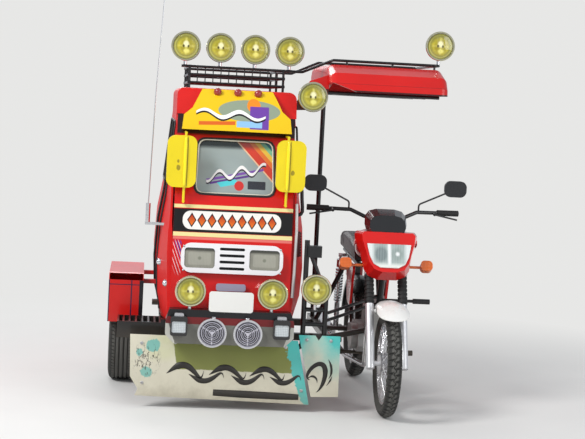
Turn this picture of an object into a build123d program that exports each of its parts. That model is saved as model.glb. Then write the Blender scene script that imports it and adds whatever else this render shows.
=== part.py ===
from build123d import *
import os
from math import cos, radians, sin

os.makedirs("parts", exist_ok=True)

# A motor tricycle: a small motorcycle with a covered passenger cab beside it on a third wheel.
# Millimetres. Origin on the ground under the middle of the whole vehicle.
# X to the rider's left, Y to the rear, Z up. The cab is on the rider's right.

# Overall places
half_width = 1000.0
half_length = 1030.0
seat_gap = 0.3

# Wheels and tyres
front_tyre_radius = 290.0
front_tyre_width = 80.0
rear_tyre_radius = 296.0
rear_tyre_width = 90.0
cycle_rim_radius = 222.0
cycle_rim_width = 50.0
cycle_hub_radius = 62.0
axle_radius = 8.0
hub_play = 0.05
side_tyre_radius = 276.0
side_tyre_width = 155.0
side_rim_radius = 154.0
wheel_clear = 6.5
wheelbase = 1280.0
bike_x = 535.0
front_axle_y = front_tyre_radius - half_length
rear_axle_y = front_axle_y + wheelbase
middle_y = front_axle_y + 740.0
side_axle_y = middle_y + 150.0

# Steering
rake = 26.5
fork_offset = 37.0
leg_spacing = 186.0
leg_radius = 23.0
stanchion_radius = 14.0
gaiter_radius = 27.0
leg_top = 340.0
gaiter_top = 505.0
clamp_thickness = 26.0
lower_clamp = 512.0
upper_clamp = 745.0
head_radius = 27.0
stem_radius = 13.0
head_play = 5.0
bar_radius = 11.0
bar_half = 430.0
bar_height = 1095.0
bar_back = 60.0
grip_length = 120.0
grip_radius = 17.0

# Cab
cab_x = -334.0
cab_wall = 26.0
cab_base = 460.0
cab_waist = 1150.0
cab_eaves = 1590.0
cab_roof_top = 1735.0
cab_face_half = 324.0
cab_roof_half = 331.0
face_base_y = middle_y - 690.0
face_waist_y = face_base_y + 90.0
face_eaves_y = face_waist_y + 147.0
roof_front_y = face_eaves_y + 53.0
corner_back_y = face_base_y + 300.0
cab_back_y = middle_y + 880.0
floor_thickness = 30.0

# Lamps: the same yellow lamp is used all round
lamp_radius = 82.0
lamp_depth = 62.0
lamp_rim = 9.0
lamp_foot_radius = 10.0

# Chassis
rail_size = 40.0
rail_base = 330.0
link_radius = 14.0


def vec(x, y, z):
    return Vector(x, y, z)


def rod(start, end, radius, mode=Mode.ADD):
    """A round bar between two points, added to the open part."""
    run = end - start
    with BuildSketch(Plane(origin=start, z_dir=run)) as disc:
        Circle(radius)
    extrude(disc.sketch, amount=run.length, mode=mode)


def bent_tube(points, bend, radius):
    """A round tube along straight runs with arcs at the corners, added to the open part."""
    with BuildLine() as path:
        FilletPolyline(*points, radius=bend)
    with BuildSketch(Plane(origin=path.line @ 0, z_dir=path.line % 0)) as disc:
        Circle(radius)
    sweep(disc.sketch, path=path.line)


def block(low, high, mode=Mode.ADD):
    """A square-edged block between two opposite corners, added to the open part."""
    size = high - low
    with Locations((low + high) * 0.5):
        Box(size.X, size.Y, size.Z, mode=mode)


def finish(builder, name):
    """Label the finished piece and write it."""
    builder.part.label = name
    export_step(builder.part, "parts/" + name + ".step")


# The face of the cab leans back: this plane lies on it, up along it is local Y
face_lean = (face_waist_y - face_base_y) / (cab_waist - cab_base)
face_plane = Plane(
    origin=(cab_x, face_base_y, cab_base),
    x_dir=(1, 0, 0),
    z_dir=(0, -1, face_lean),
)


def on_face(height):
    """Distance up the face plane of a level above the ground."""
    return (height - cab_base) * (1 + face_lean**2) ** 0.5


# The steering axis: local Z up along it, local -Y ahead of it
steer_up = vec(0, sin(radians(rake)), cos(radians(rake)))
steer_ahead = vec(0, -cos(radians(rake)), sin(radians(rake)))
front_axle = vec(bike_x, front_axle_y, front_tyre_radius)
steer_foot = front_axle - steer_ahead * fork_offset
steer_plane = Plane(origin=steer_foot, x_dir=(1, 0, 0), z_dir=steer_up)


def on_steer(x, back, up):
    """A point of the fork's own frame, in vehicle coordinates."""
    return steer_plane.from_local_coords(vec(x, back, up))


# Wheels

def wheel_plane(x, y, z):
    """A plane across a wheel with its local Z along the axle."""
    return Plane(origin=(x, y, z), x_dir=(0, 1, 0), z_dir=(1, 0, 0))


def cycle_tyre(name, y, radius, width):
    """A round-shouldered cycle tyre, revolved about its axle."""
    section = Plane(origin=(bike_x, y, radius), x_dir=(1, 0, 0), z_dir=(0, -1, 0))
    bead = cycle_rim_width / 2 - 4
    with BuildPart() as tyre:
        with BuildSketch(section):
            with BuildLine():
                Polyline((-bead, cycle_rim_radius), (-width / 2, radius - width * 0.45))
                ThreePointArc(
                    (-width / 2, radius - width * 0.45),
                    (0, radius),
                    (width / 2, radius - width * 0.45),
                )
                Polyline((width / 2, radius - width * 0.45), (bead, cycle_rim_radius))
                Line((bead, cycle_rim_radius), (-bead, cycle_rim_radius))
            make_face()
        revolve(axis=Axis((bike_x, y, radius), (1, 0, 0)))
    finish(tyre, name)
    return tyre


def cycle_wheel(name, y, radius, hub_half):
    """A rim, a drum hub and paired spokes, with a bore for the axle."""
    spoke_pairs = 9
    spoke_radius = 3.0
    rim_floor = cycle_rim_radius - 16
    with BuildPart() as wheel:
        with BuildSketch(Plane(origin=(bike_x, y, radius), x_dir=(1, 0, 0), z_dir=(0, -1, 0))):
            with Locations((0, (cycle_rim_radius + rim_floor) / 2)):
                Rectangle(cycle_rim_width, cycle_rim_radius - rim_floor)
            with Locations((0, cycle_hub_radius / 2)):
                Rectangle(hub_half * 2, cycle_hub_radius)
        revolve(axis=Axis((bike_x, y, radius), (1, 0, 0)))
        for index in range(spoke_pairs):
            turn = 360 / spoke_pairs * index
            for side in (-1, 1):
                lead = turn + side * 14
                inner = cycle_hub_radius - 6
                start = vec(
                    bike_x + side * hub_half * 0.7,
                    y + inner * cos(radians(turn)),
                    radius + inner * sin(radians(turn)),
                )
                end = vec(
                    bike_x,
                    y + (rim_floor + 4) * cos(radians(lead)),
                    radius + (rim_floor + 4) * sin(radians(lead)),
                )
                rod(start, end, spoke_radius)
        with BuildSketch(wheel_plane(bike_x, y, radius)):
            Circle(axle_radius + hub_play)
        extrude(amount=hub_half * 2, both=True, mode=Mode.SUBTRACT)
    finish(wheel, name)
    return wheel


hub_half = 45.0
front_tyre = cycle_tyre("front_tyre", front_axle_y, front_tyre_radius, front_tyre_width)
front_wheel = cycle_wheel("front_wheel", front_axle_y, front_tyre_radius, hub_half)
rear_tyre = cycle_tyre("rear_tyre", rear_axle_y, rear_tyre_radius, rear_tyre_width)
rear_wheel = cycle_wheel("rear_wheel", rear_axle_y, rear_tyre_radius, hub_half)

# The cab's wheel: a small car wheel under its own box fender
fender_wall = 4.0
side_wheel_x = -half_width + fender_wall + wheel_clear + side_tyre_width / 2
side_hub_half = 40.0
side_stub_radius = 14.0
side_dish = 12.0
shoulder = 28.0

with BuildPart() as side_tyre:
    with BuildSketch(Plane((side_wheel_x, side_axle_y, side_tyre_radius), (1, 0, 0), (0, -1, 0))):
        with BuildLine():
            Polyline(
                (-side_tyre_width * 0.36, side_rim_radius),
                (-side_tyre_width / 2, side_rim_radius + 55),
                (-side_tyre_width / 2 + 8, side_tyre_radius - shoulder),
                (-side_tyre_width / 2 + shoulder, side_tyre_radius),
                (side_tyre_width / 2 - shoulder, side_tyre_radius),
                (side_tyre_width / 2 - 8, side_tyre_radius - shoulder),
                (side_tyre_width / 2, side_rim_radius + 55),
                (side_tyre_width * 0.36, side_rim_radius),
                close=True,
            )
        make_face()
    revolve(axis=Axis((side_wheel_x, side_axle_y, side_tyre_radius), (1, 0, 0)))
finish(side_tyre, "side_tyre")

with BuildPart() as side_wheel:
    with BuildSketch(Plane((side_wheel_x, side_axle_y, side_tyre_radius), (1, 0, 0), (0, -1, 0))):
        with Locations((0, side_rim_radius - 6)):
            Rectangle(side_tyre_width * 0.72, 12)
        with Locations((0, side_rim_radius / 2)):
            Rectangle(side_dish, side_rim_radius)
        with Locations((0, 30)):
            Rectangle(side_hub_half * 2, 60)
    revolve(axis=Axis((side_wheel_x, side_axle_y, side_tyre_radius), (1, 0, 0)))
    with BuildSketch(wheel_plane(side_wheel_x, side_axle_y, side_tyre_radius)):
        with PolarLocations(105, 8):
            Circle(17)
        Circle(side_stub_radius + hub_play)
    extrude(amount=side_hub_half * 2, both=True, mode=Mode.SUBTRACT)
finish(side_wheel, "side_wheel")

# Fork, with its axle, lower legs, upper tubes, clamps and steering stem
axle_half = leg_spacing / 2 + 18
head_low = lower_clamp + clamp_thickness + head_play
head_high = upper_clamp - head_play

with BuildPart() as fork:
    with BuildSketch(wheel_plane(*front_axle)):
        Circle(axle_radius)
    extrude(amount=axle_half, both=True)
    for side in (-1, 1):
        x = side * leg_spacing / 2
        rod(on_steer(x, -fork_offset, -30), on_steer(x, -fork_offset, leg_top), leg_radius)
        rod(
            on_steer(x, -fork_offset, leg_top),
            on_steer(x, -fork_offset, upper_clamp + clamp_thickness),
            stanchion_radius,
        )
        rod(
            vec(bike_x + side * (hub_half + seat_gap), front_axle_y, front_tyre_radius),
            vec(bike_x + side * leg_spacing / 2, front_axle_y, front_tyre_radius),
            axle_radius + 6,
        )
    for level in (lower_clamp, upper_clamp):
        clamp = steer_plane.offset(level)
        with BuildSketch(clamp):
            with BuildLine():
                Polyline(
                    (-leg_spacing / 2 - 26, -fork_offset - 24),
                    (leg_spacing / 2 + 26, -fork_offset - 24),
                    (leg_spacing / 2 + 26, -fork_offset + 24),
                    (32, 30),
                    (-32, 30),
                    (-leg_spacing / 2 - 26, -fork_offset + 24),
                    close=True,
                )
            make_face()
        extrude(amount=clamp_thickness)
    rod(on_steer(0, 0, lower_clamp), on_steer(0, 0, upper_clamp + clamp_thickness + 8), stem_radius)
finish(fork, "fork")

with BuildPart() as fork_gaiters:
    gaiter_rings = 7
    ring_step = (gaiter_top - leg_top - 2 * seat_gap) / gaiter_rings
    for side in (-1, 1):
        x = side * leg_spacing / 2
        for ring in range(gaiter_rings):
            low = leg_top + seat_gap + ring * ring_step
            for start, end, radius in (
                (low, low + ring_step / 2, gaiter_radius - 4),
                (low + ring_step / 2, low + ring_step, gaiter_radius),
            ):
                rod(on_steer(x, -fork_offset, start), on_steer(x, -fork_offset, end), radius)
        with BuildSketch(steer_plane.offset(leg_top)):
            with Locations((x, -fork_offset)):
                Circle(stanchion_radius + seat_gap)
        extrude(amount=gaiter_top - leg_top, mode=Mode.SUBTRACT)
finish(fork_gaiters, "fork_gaiters")

# Handlebar, clamped over the upper clamp, with lever brackets
bar_drop = 35.0
bar_ahead = 12.0
clamp_top = upper_clamp + clamp_thickness
bar_rise = (bar_height - bar_drop - on_steer(0, -bar_ahead, clamp_top).Z) / steer_up.Z
bar_mid = on_steer(0, -bar_ahead, clamp_top + bar_rise)
grip_y = bar_mid.Y + bar_back
lever_reach = 55.0
riser_spacing = 90.0
riser_radius = 13.0
knee_half = 190.0
knee_back = 20.0
lever_x = bar_half - grip_length - 18

with BuildPart() as handlebar:
    bent_tube(
        [
            vec(bike_x - bar_half, grip_y, bar_height),
            vec(bike_x - knee_half, bar_mid.Y + knee_back, bar_height),
            vec(bike_x - 110, bar_mid.Y, bar_mid.Z),
            vec(bike_x + 110, bar_mid.Y, bar_mid.Z),
            vec(bike_x + knee_half, bar_mid.Y + knee_back, bar_height),
            vec(bike_x + bar_half, grip_y, bar_height),
        ],
        30,
        bar_radius,
    )
    for side in (-1, 1):
        riser = side * riser_spacing / 2
        rod(
            on_steer(riser, -bar_ahead, clamp_top),
            on_steer(riser, -bar_ahead, clamp_top + bar_rise),
            riser_radius,
        )
        rod(
            vec(bike_x + side * lever_x, grip_y - 12, bar_height),
            vec(bike_x + side * lever_x, grip_y - lever_reach, bar_height - 8),
            9,
        )
        rod(
            vec(bike_x + side * lever_x, grip_y - lever_reach, bar_height - 8),
            vec(bike_x + side * (bar_half - 6), grip_y - lever_reach + 12, bar_height - 34),
            5,
        )
finish(handlebar, "handlebar")

with BuildPart() as grips:
    for side in (-1, 1):
        tip = vec(bike_x + side * bar_half, grip_y, bar_height)
        knee = vec(bike_x + side * knee_half, bar_mid.Y + knee_back, bar_height)
        run = (knee - tip).normalized()
        rod(tip - run * 6, tip + run * grip_length, grip_radius)
    add(handlebar.part, mode=Mode.SUBTRACT)
finish(grips, "grips")


# Parts that turn with the fork: everything here is drawn on a plane facing ahead,
# with local Y up along the steering axis and local Z forward
mask_back = fork_offset + 30
mask_plane = Plane(origin=on_steer(0, -mask_back, 0), x_dir=(1, 0, 0), z_dir=steer_ahead)
mask_depth = 105.0
mask_wall = 4.0
mask_rear_top = 765.0
mask_front_top = 717.0
mask_ear_level = 700.0
mask_ear_x = 174.0
mask_ear_radius = 7.0


def half_outline(rows):
    """A closed outline symmetric about X = 0 from rows of (half width, height)."""
    right = [(half, height) for half, height in rows]
    left = [(-half, height) for half, height in reversed(rows)]
    return right + left


def mask_section(rows, depth, round_by):
    """One rounded section of the headlamp mask, at a depth ahead of the fork."""
    with BuildSketch(mask_plane.offset(depth)) as section:
        with BuildLine():
            Polyline(*half_outline(rows), close=True)
        make_face()
        fillet(section.vertices(), round_by)
    return section.sketch


# half width, height along the steering axis
mask_rear_rows = (
    (54, 474), (104, 496), (128, 532), (146, 628), (175, 705), (177, 744), (164, mask_rear_top),
)
mask_front_rows = (
    (40, 482), (84, 498), (112, 540), (128, 600), (145, 660), (150, 700), (138, mask_front_top),
)
glass_rows = ((50, 506), (88, 528), (108, 572), (119, 622), (122, 644))


def inset_rows(rows, wall):
    """The same outline drawn in by a wall."""
    low, high = rows[0][1], rows[-1][1]
    return [
        (half - wall, height + (wall if height == low else -wall if height == high else 0))
        for half, height in rows
    ]


with BuildPart() as headlamp_mask:
    rear = mask_section(mask_rear_rows, 0, 12)
    front = mask_section(mask_front_rows, mask_depth, 12)
    loft([rear, front])
    rear_in = mask_section(inset_rows(mask_rear_rows, mask_wall), 0, 9)
    front_in = mask_section(inset_rows(mask_front_rows, mask_wall), mask_depth - mask_wall, 9)
    loft([rear_in, front_in], mode=Mode.SUBTRACT)
    with BuildSketch(mask_plane.offset(mask_depth)):
        with BuildLine():
            Polyline(*half_outline(glass_rows), close=True)
        make_face()
        offset(amount=seat_gap)
    extrude(amount=-2 * mask_wall, mode=Mode.SUBTRACT)
    for side in (-1, 1):
        with BuildSketch(mask_plane.offset(6)) as ear:
            with Locations((side * mask_ear_x, mask_ear_level)):
                Rectangle(mask_wall, 4 * mask_ear_radius)
        extrude(ear.sketch, amount=fork_offset - mask_back - mask_ear_radius - 8)
        rod(
            on_steer(side * (leg_spacing / 2 + stanchion_radius + seat_gap), -fork_offset, mask_ear_level),
            on_steer(side * mask_ear_x, -fork_offset, mask_ear_level),
            mask_ear_radius,
        )
finish(headlamp_mask, "headlamp_mask")

glass_thickness = 12.0
with BuildPart() as headlamp_glass:
    with BuildSketch(mask_plane.offset(mask_depth - mask_wall)):
        with BuildLine():
            Polyline(*half_outline(glass_rows), close=True)
        make_face()
    extrude(amount=glass_thickness)
finish(headlamp_glass, "headlamp_glass")

cowl_depth = 80.0
cowl_front_low = mask_rear_top + (mask_front_top - mask_rear_top) * cowl_depth / mask_depth + 2 * seat_gap
cowl_rear_low = mask_rear_top + 2 * seat_gap
# half width, height along the steering axis
cowl_rear_rows = ((110, cowl_rear_low), (120, 805), (117, 856), (94, 888), (52, 900))
cowl_front_rows = ((92, cowl_front_low), (102, 756), (99, 792), (78, 818), (42, 828))
with BuildPart() as meter_cowl:
    loft([mask_section(cowl_rear_rows, 0, 8), mask_section(cowl_front_rows, cowl_depth, 8)])
finish(meter_cowl, "meter_cowl")

signal_x = 228.0
signal_level = 567.0
signal_size = (66.0, 60.0)
signal_depth = 42.0
with BuildPart() as turn_signals:
    for side in (-1, 1):
        stalk_start = leg_spacing / 2 + stanchion_radius + seat_gap
        rod(
            on_steer(side * stalk_start, -fork_offset, signal_level),
            on_steer(side * signal_x, -fork_offset, signal_level),
            8,
        )
        with BuildSketch(mask_plane.offset(-34)):
            with Locations((side * signal_x, signal_level)):
                RectangleRounded(*signal_size, 22)
        extrude(amount=signal_depth)
finish(turn_signals, "turn_signals")

# Bike mirrors on bent stalks from the bar
mirror_x = 400.0
mirror_z = 1238.0
with BuildPart() as bike_mirrors:
    for side in (-1, 1):
        foot_x = bike_x + side * 200
        foot_y = bar_mid.Y + 22
        bent_tube(
            [
                vec(foot_x, foot_y, bar_height + bar_radius + seat_gap),
                vec(foot_x, foot_y, bar_height + 45),
                vec(bike_x + side * (mirror_x - 40), foot_y - 30, mirror_z - 20),
            ],
            20,
            5,
        )
        with BuildSketch(Plane((bike_x + side * mirror_x, foot_y - 42, mirror_z), (1, 0, 0), (0, 1, 0))):
            RectangleRounded(126, 92, 36)
        extrude(amount=24)
finish(bike_mirrors, "bike_mirrors")

# Front mudguard: a channel bent round the wheel, with a wider rounded nose
guard_radius = 338.0
guard_wall = 4.0
guard_half = 61.0
guard_crown = 16.0
guard_skirt = 42.0
guard_nose_half = 98.0
guard_nose_crown = 37.0
guard_lift = 8.0
guard_axis = Axis((bike_x, front_axle_y, front_tyre_radius + guard_lift), (1, 0, 0))
guard_boss_level = 300.0
guard_tail_turn = -100.0
guard_join_turn = 2.0
guard_step = 1.5
guard_flare_turn = -8.0
guard_nose_turn = 42.0
guard_view_turn = 16.0
# half width, distance ahead: the nose seen from above
guard_nose_rows = ((58, -160), (66, -90), (80, -30), (88, 18), (83, 66), (62, 108), (30, 132))
guard_nose_tip = 139.0


def guard_section(centre, radius, half, crown, skirt, turn):
    """The arched channel's section, in a half plane through the axle turned ahead by an angle."""
    base = Plane(
        origin=centre.position,
        x_dir=(1, 0, 0),
        z_dir=(0, -cos(radians(turn)), -sin(radians(turn))),
    )
    inner = half - guard_wall
    shoulder_at = radius - crown
    edge = radius - skirt
    inner_at = shoulder_at - guard_wall / 2
    with BuildSketch(base) as section:
        with BuildLine():
            ThreePointArc((-half, shoulder_at), (0, radius), (half, shoulder_at))
            Polyline((half, shoulder_at), (half, edge), (inner, edge), (inner, inner_at))
            ThreePointArc((inner, inner_at), (0, radius - guard_wall), (-inner, inner_at))
            Polyline((-inner, inner_at), (-inner, edge), (-half, edge), (-half, shoulder_at))
        make_face()
    return section.sketch


with BuildPart() as front_guard:
    revolve(
        guard_section(
            guard_axis, guard_radius, guard_nose_half, guard_nose_crown, guard_skirt, guard_flare_turn
        ),
        axis=guard_axis,
        revolution_arc=guard_nose_turn - guard_flare_turn,
    )
    nose_view = Plane(
        origin=guard_axis.position,
        x_dir=(1, 0, 0),
        z_dir=(0, -sin(radians(guard_view_turn)), cos(radians(guard_view_turn))),
    )
    nose_side = [(half, -ahead) for half, ahead in guard_nose_rows]
    nose_loop = [*nose_side, (0, -guard_nose_tip), *[(-half, back) for half, back in reversed(nose_side)]]
    with BuildSketch(nose_view) as nose_outline:
        with BuildLine():
            Spline(*nose_loop)
            Line(nose_loop[-1], nose_loop[0])
        make_face()
    extrude(nose_outline.sketch, amount=guard_radius + guard_skirt, mode=Mode.INTERSECT)
    revolve(
        guard_section(
            guard_axis, guard_radius - guard_step, guard_half, guard_crown, guard_skirt, guard_tail_turn
        ),
        axis=guard_axis,
        revolution_arc=guard_join_turn - guard_tail_turn,
    )
    for side in (-1, 1):
        boss = on_steer(side * (guard_half - guard_wall), -fork_offset, guard_boss_level)
        boss_end = on_steer(
            side * (leg_spacing / 2 - leg_radius - seat_gap), -fork_offset, guard_boss_level
        )
        rod(boss, boss_end, 10)
finish(front_guard, "front_guard")


# Motorcycle frame
rail_half = 85.0
frame_tube = 13.0
spine_tube = 19.0
pivot_y = middle_y + 160.0
pivot_z = 350.0
seat_rail_z = 755.0
seat_rail_front = (middle_y - 14.0, seat_rail_z - 2)
seat_rail_back = (middle_y + 640.0, seat_rail_z + 25)
tunnel_half = 24.0
tunnel_top = 862.0
tube_set_back = 8.0
spine_head = on_steer(0, tube_set_back, 640)
spine_bend = vec(bike_x, middle_y - 150, 800)
spine_end = vec(bike_x, pivot_y - 70, seat_rail_z)
down_head = on_steer(0, tube_set_back, 602)
down_foot = vec(bike_x, middle_y - 262, 408)
saddle_y = middle_y - 47.0
tank_rubber = (middle_y - 250.0, 824.0)
loop_end = (middle_y + 620.0, 778.0)
strut_top = (middle_y + 420.0, 772.0)
peg_y = middle_y - 60.0
peg_base_z = 236.0
peg_tip_z = 246.0
rest_y = middle_y - 352.0
rest_z = 590.0

with BuildPart() as bike_frame:
    rod(on_steer(0, 0, head_low), on_steer(0, 0, head_high), head_radius)
    rod(spine_head, spine_bend, spine_tube)
    rod(spine_bend, spine_end, spine_tube)
    rod(spine_end, vec(bike_x, pivot_y - 40, pivot_z), spine_tube)
    rod(down_head, down_foot, spine_tube)
    with Locations(spine_bend, spine_end, down_foot):
        Sphere(spine_tube)
    block(down_foot - vec(24, 16, 18), down_foot + vec(24, 26, 18))
    block(
        vec(bike_x - rail_half, pivot_y - 52, pivot_z - 30),
        vec(bike_x + rail_half, pivot_y - 14, pivot_z + 30),
    )
    front_cross = vec(bike_x, middle_y, seat_rail_z - 4)
    cross_reach = vec(rail_half + 8, 0, 0)
    rod(front_cross - cross_reach, front_cross + cross_reach, frame_tube)
    block(
        vec(bike_x - 15, saddle_y - 15, seat_rail_z + 30),
        vec(bike_x + 15, saddle_y + 15, tunnel_top - seat_gap),
    )
    rubber_reach = vec(tunnel_half - seat_gap, 0, 0)
    rod(vec(bike_x, *tank_rubber) - rubber_reach, vec(bike_x, *tank_rubber) + rubber_reach, 11)
    rod(vec(bike_x - rail_half, *loop_end), vec(bike_x + rail_half, *loop_end), frame_tube)
    for side in (-1, 1):
        x = bike_x + side * rail_half
        rod(vec(x, *seat_rail_front), vec(x, *seat_rail_back), frame_tube)
        rod(vec(x, *strut_top), vec(x, pivot_y - 30, pivot_z + 20), frame_tube)
        rod(vec(bike_x, peg_y, peg_base_z), vec(bike_x + side * 250, peg_y, peg_tip_z), 10)
        rod(vec(bike_x + side * 160, peg_y, peg_tip_z - 4), vec(bike_x + side * 256, peg_y, peg_tip_z), 16)
    for side in (-1, 1):
        rod(
            vec(bike_x + side * 40, pivot_y - 30, pivot_z - 20),
            vec(bike_x + side * 40, peg_y, peg_base_z),
            frame_tube,
        )
    rest_start = vec(bike_x, rest_y, rest_z)
    rod(rest_start, rest_start + vec(190, 0, 0), 9)
    rod(rest_start + vec(190, 0, 0), rest_start + vec(286, 0, 0), 15)
    rod(on_steer(0, 0, head_low), on_steer(0, 0, head_high), stem_radius + head_play, Mode.SUBTRACT)
finish(bike_frame, "bike_frame")

# Engine: a crankcase under a forward-leaning finned cylinder
case_half = 95.0
cylinder_lean = 20.0
cylinder_foot = vec(bike_x, middle_y - 150, 418)
cylinder_plane = Plane(
    origin=cylinder_foot,
    x_dir=(1, 0, 0),
    z_dir=(0, -sin(radians(cylinder_lean)), cos(radians(cylinder_lean))),
)
fin_count = 8
fin_pitch = 15.0
# distance back, height
case_rows = (
    (-232, 300), (-222, 390), (-190, 428), (-60, 428), (60, 420), (104, 380),
    (104, 300), (60, 262), (-170, 262),
)
# side, distance back, reach out, radius
cover_rows = ((-1, -120, 34, 74), (1, -120, 34, 66), (-1, 30, 22, 58), (1, 30, 22, 50))
cover_z = 345.0

with BuildPart() as engine:
    with BuildSketch(Plane((bike_x - case_half, middle_y, 0), (0, 1, 0), (1, 0, 0))):
        with BuildLine():
            Polyline(*case_rows, close=True)
        make_face()
    extrude(amount=2 * case_half)
    for side, back, reach, radius in cover_rows:
        start = vec(bike_x + side * case_half, middle_y + back, cover_z)
        rod(start, start + vec(side * reach, 0, 0), radius)
    with BuildSketch(cylinder_plane):
        Circle(44)
    extrude(amount=30 + fin_count * fin_pitch)
    for fin in range(fin_count):
        with BuildSketch(cylinder_plane.offset(18 + fin * fin_pitch)):
            RectangleRounded(132, 124, 16)
        extrude(amount=6)
    with BuildSketch(cylinder_plane.offset(18 + fin_count * fin_pitch)):
        RectangleRounded(104, 100, 20)
    extrude(amount=34)
    add(bike_frame.part, mode=Mode.SUBTRACT)
finish(engine, "engine")

pipe_z = 204.0
port_side = 36.0
muffler_x = bike_x - 205.0
# distance back, height of the silencer's front, back and tail pipe's end
muffler_rows = ((290, 302), (800, 345), (850, 349))

with BuildPart() as exhaust:
    pipe_x = bike_x - 58
    port_level = 18 + fin_count * fin_pitch + 12
    port = cylinder_plane.from_local_coords(vec(-port_side, -50 - seat_gap, port_level))
    port_out = cylinder_plane.from_local_coords(vec(-port_side, -92, port_level))
    bent_tube(
        [
            port,
            port_out,
            vec(pipe_x, middle_y - 310, 470),
            vec(pipe_x, middle_y - 292, pipe_z),
            vec(pipe_x - 70, middle_y + 60, pipe_z),
            vec(muffler_x, middle_y + 240, 298),
            vec(muffler_x, middle_y + 300, 303),
        ],
        24,
        15,
    )
    muffler_front, muffler_back, tail_end = [
        vec(muffler_x, middle_y + back, height) for back, height in muffler_rows
    ]
    rod(muffler_front, muffler_back, 44)
    rod(muffler_back, tail_end, 20)
finish(exhaust, "exhaust")

# distance back, half width, low, high
tank_rows = ((-318, 62, 842, 905), (-220, 122, 812, 968), (-60, 112, 800, 940), (-18, 92, 800, 890))
tank_base = 800.0
with BuildPart() as fuel_tank:
    tank_sections = []
    for back, half, low, high in tank_rows:
        ring_plane = Plane((bike_x, middle_y + back, (low + high) / 2), (1, 0, 0), (0, -1, 0))
        with BuildSketch(ring_plane) as ring:
            RectangleRounded(2 * half, high - low, min(half, (high - low) / 2) * 0.7)
        tank_sections.append(ring.sketch)
    loft(tank_sections)
    block(
        vec(bike_x - tunnel_half, middle_y - 330, tank_base - 60),
        vec(bike_x + tunnel_half, middle_y, tunnel_top),
        Mode.SUBTRACT,
    )
finish(fuel_tank, "fuel_tank")

# The seat's underside lies along the two seat rails
rail_slope = (seat_rail_back[1] - seat_rail_front[1]) / (seat_rail_back[0] - seat_rail_front[0])
rail_crest = frame_tube * (1 + rail_slope**2) ** 0.5 + seat_gap
seat_front_low = seat_rail_front[1] + rail_crest
seat_back_y = middle_y + 700.0
seat_back_low = seat_front_low + rail_slope * (seat_back_y - seat_rail_front[0])
seat_half = 120.0
# distance back, height: over the top of the seat
seat_rows = ((0, 858), (180, 850), (330, 880), (660, 896), (712, 870))

with BuildPart() as rider_seat:
    with BuildSketch(Plane((bike_x - seat_half, 0, 0), (0, 1, 0), (1, 0, 0))):
        with BuildLine():
            Polyline(
                (seat_rail_front[0], seat_front_low),
                *[(middle_y + back, height) for back, height in seat_rows],
                (seat_back_y, seat_back_low),
                close=True,
            )
        make_face()
    extrude(amount=2 * seat_half)
    fillet(rider_seat.edges().filter_by(GeomType.LINE).sort_by(Axis.Z)[-6:], 14)
    block(
        vec(bike_x - tunnel_half, seat_rail_front[0] - 6, seat_front_low - 20),
        vec(bike_x + tunnel_half, spine_end.Y + 14, seat_front_low + 34),
        Mode.SUBTRACT,
    )
finish(rider_seat, "rider_seat")

# Rear end of the motorcycle
arm_inner = 92.0
arm_outer = 116.0
rear_axle = vec(bike_x, rear_axle_y, rear_tyre_radius)
pivot = vec(bike_x, pivot_y, pivot_z)

with BuildPart() as swingarm:
    rod(pivot - vec(arm_outer, 0, 0), pivot + vec(arm_outer, 0, 0), 14 - seat_gap)
    rod(rear_axle - vec(arm_outer + 8, 0, 0), rear_axle + vec(arm_outer + 8, 0, 0), axle_radius)
    for side in (-1, 1):
        low = min(side * arm_inner, side * arm_outer)
        with BuildSketch(Plane((bike_x + low, 0, 0), (0, 1, 0), (1, 0, 0))):
            with BuildLine():
                Polyline(
                    (pivot_y, pivot_z + 13), (rear_axle_y - 30, rear_tyre_radius + 18),
                    (rear_axle_y + 34, rear_tyre_radius + 18), (rear_axle_y + 34, rear_tyre_radius - 18),
                    (rear_axle_y - 30, rear_tyre_radius - 18), (pivot_y, pivot_z - 13), close=True,
                )
            make_face()
        extrude(amount=arm_outer - arm_inner)
        rod(
            rear_axle + vec(side * (hub_half + seat_gap), 0, 0),
            rear_axle + vec(side * arm_inner, 0, 0),
            axle_radius + 6,
        )
    with BuildSketch(Plane((bike_x + 56, 0, 0), (0, 1, 0), (1, 0, 0))):
        with BuildLine():
            Polyline(
                (pivot_y + 5, pivot_z + 38), (rear_axle_y, rear_tyre_radius + 66),
                (rear_axle_y, rear_tyre_radius - 66), (pivot_y + 5, pivot_z - 38), close=True,
            )
        make_face()
        with Locations((rear_axle_y, rear_tyre_radius)):
            Circle(66)
    extrude(amount=26)
finish(swingarm, "swingarm")

shock_x = 136.0
shock_foot = vec(0, rear_axle_y - 38, rear_tyre_radius + 2)
shock_head = vec(0, rear_axle_y - 104, loop_end[1] - 16)
coil_count = 12
with BuildPart() as rear_shocks:
    for side in (-1, 1):
        place = vec(bike_x + side * shock_x, 0, 0)
        foot = place + shock_foot
        head = place + shock_head
        run = head - foot
        rod(foot, head, 8)
        rod(foot, foot + run * 0.36, 17)
        rod(foot + run * 0.84, foot + run * 0.94, 22)
        for coil in range(coil_count):
            start = 0.38 + coil * 0.45 / coil_count
            rod(foot + run * start, foot + run * (start + 0.02), 25)
        rod(foot + vec(-side * (shock_x - arm_outer - seat_gap), 0, 0), foot + vec(side * 14, 0, 0), 11)
        rod(
            head + vec(-side * (shock_x - rail_half - frame_tube - seat_gap), 0, 0),
            head + vec(side * 14, 0, 0),
            11,
        )
finish(rear_shocks, "rear_shocks")

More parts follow.
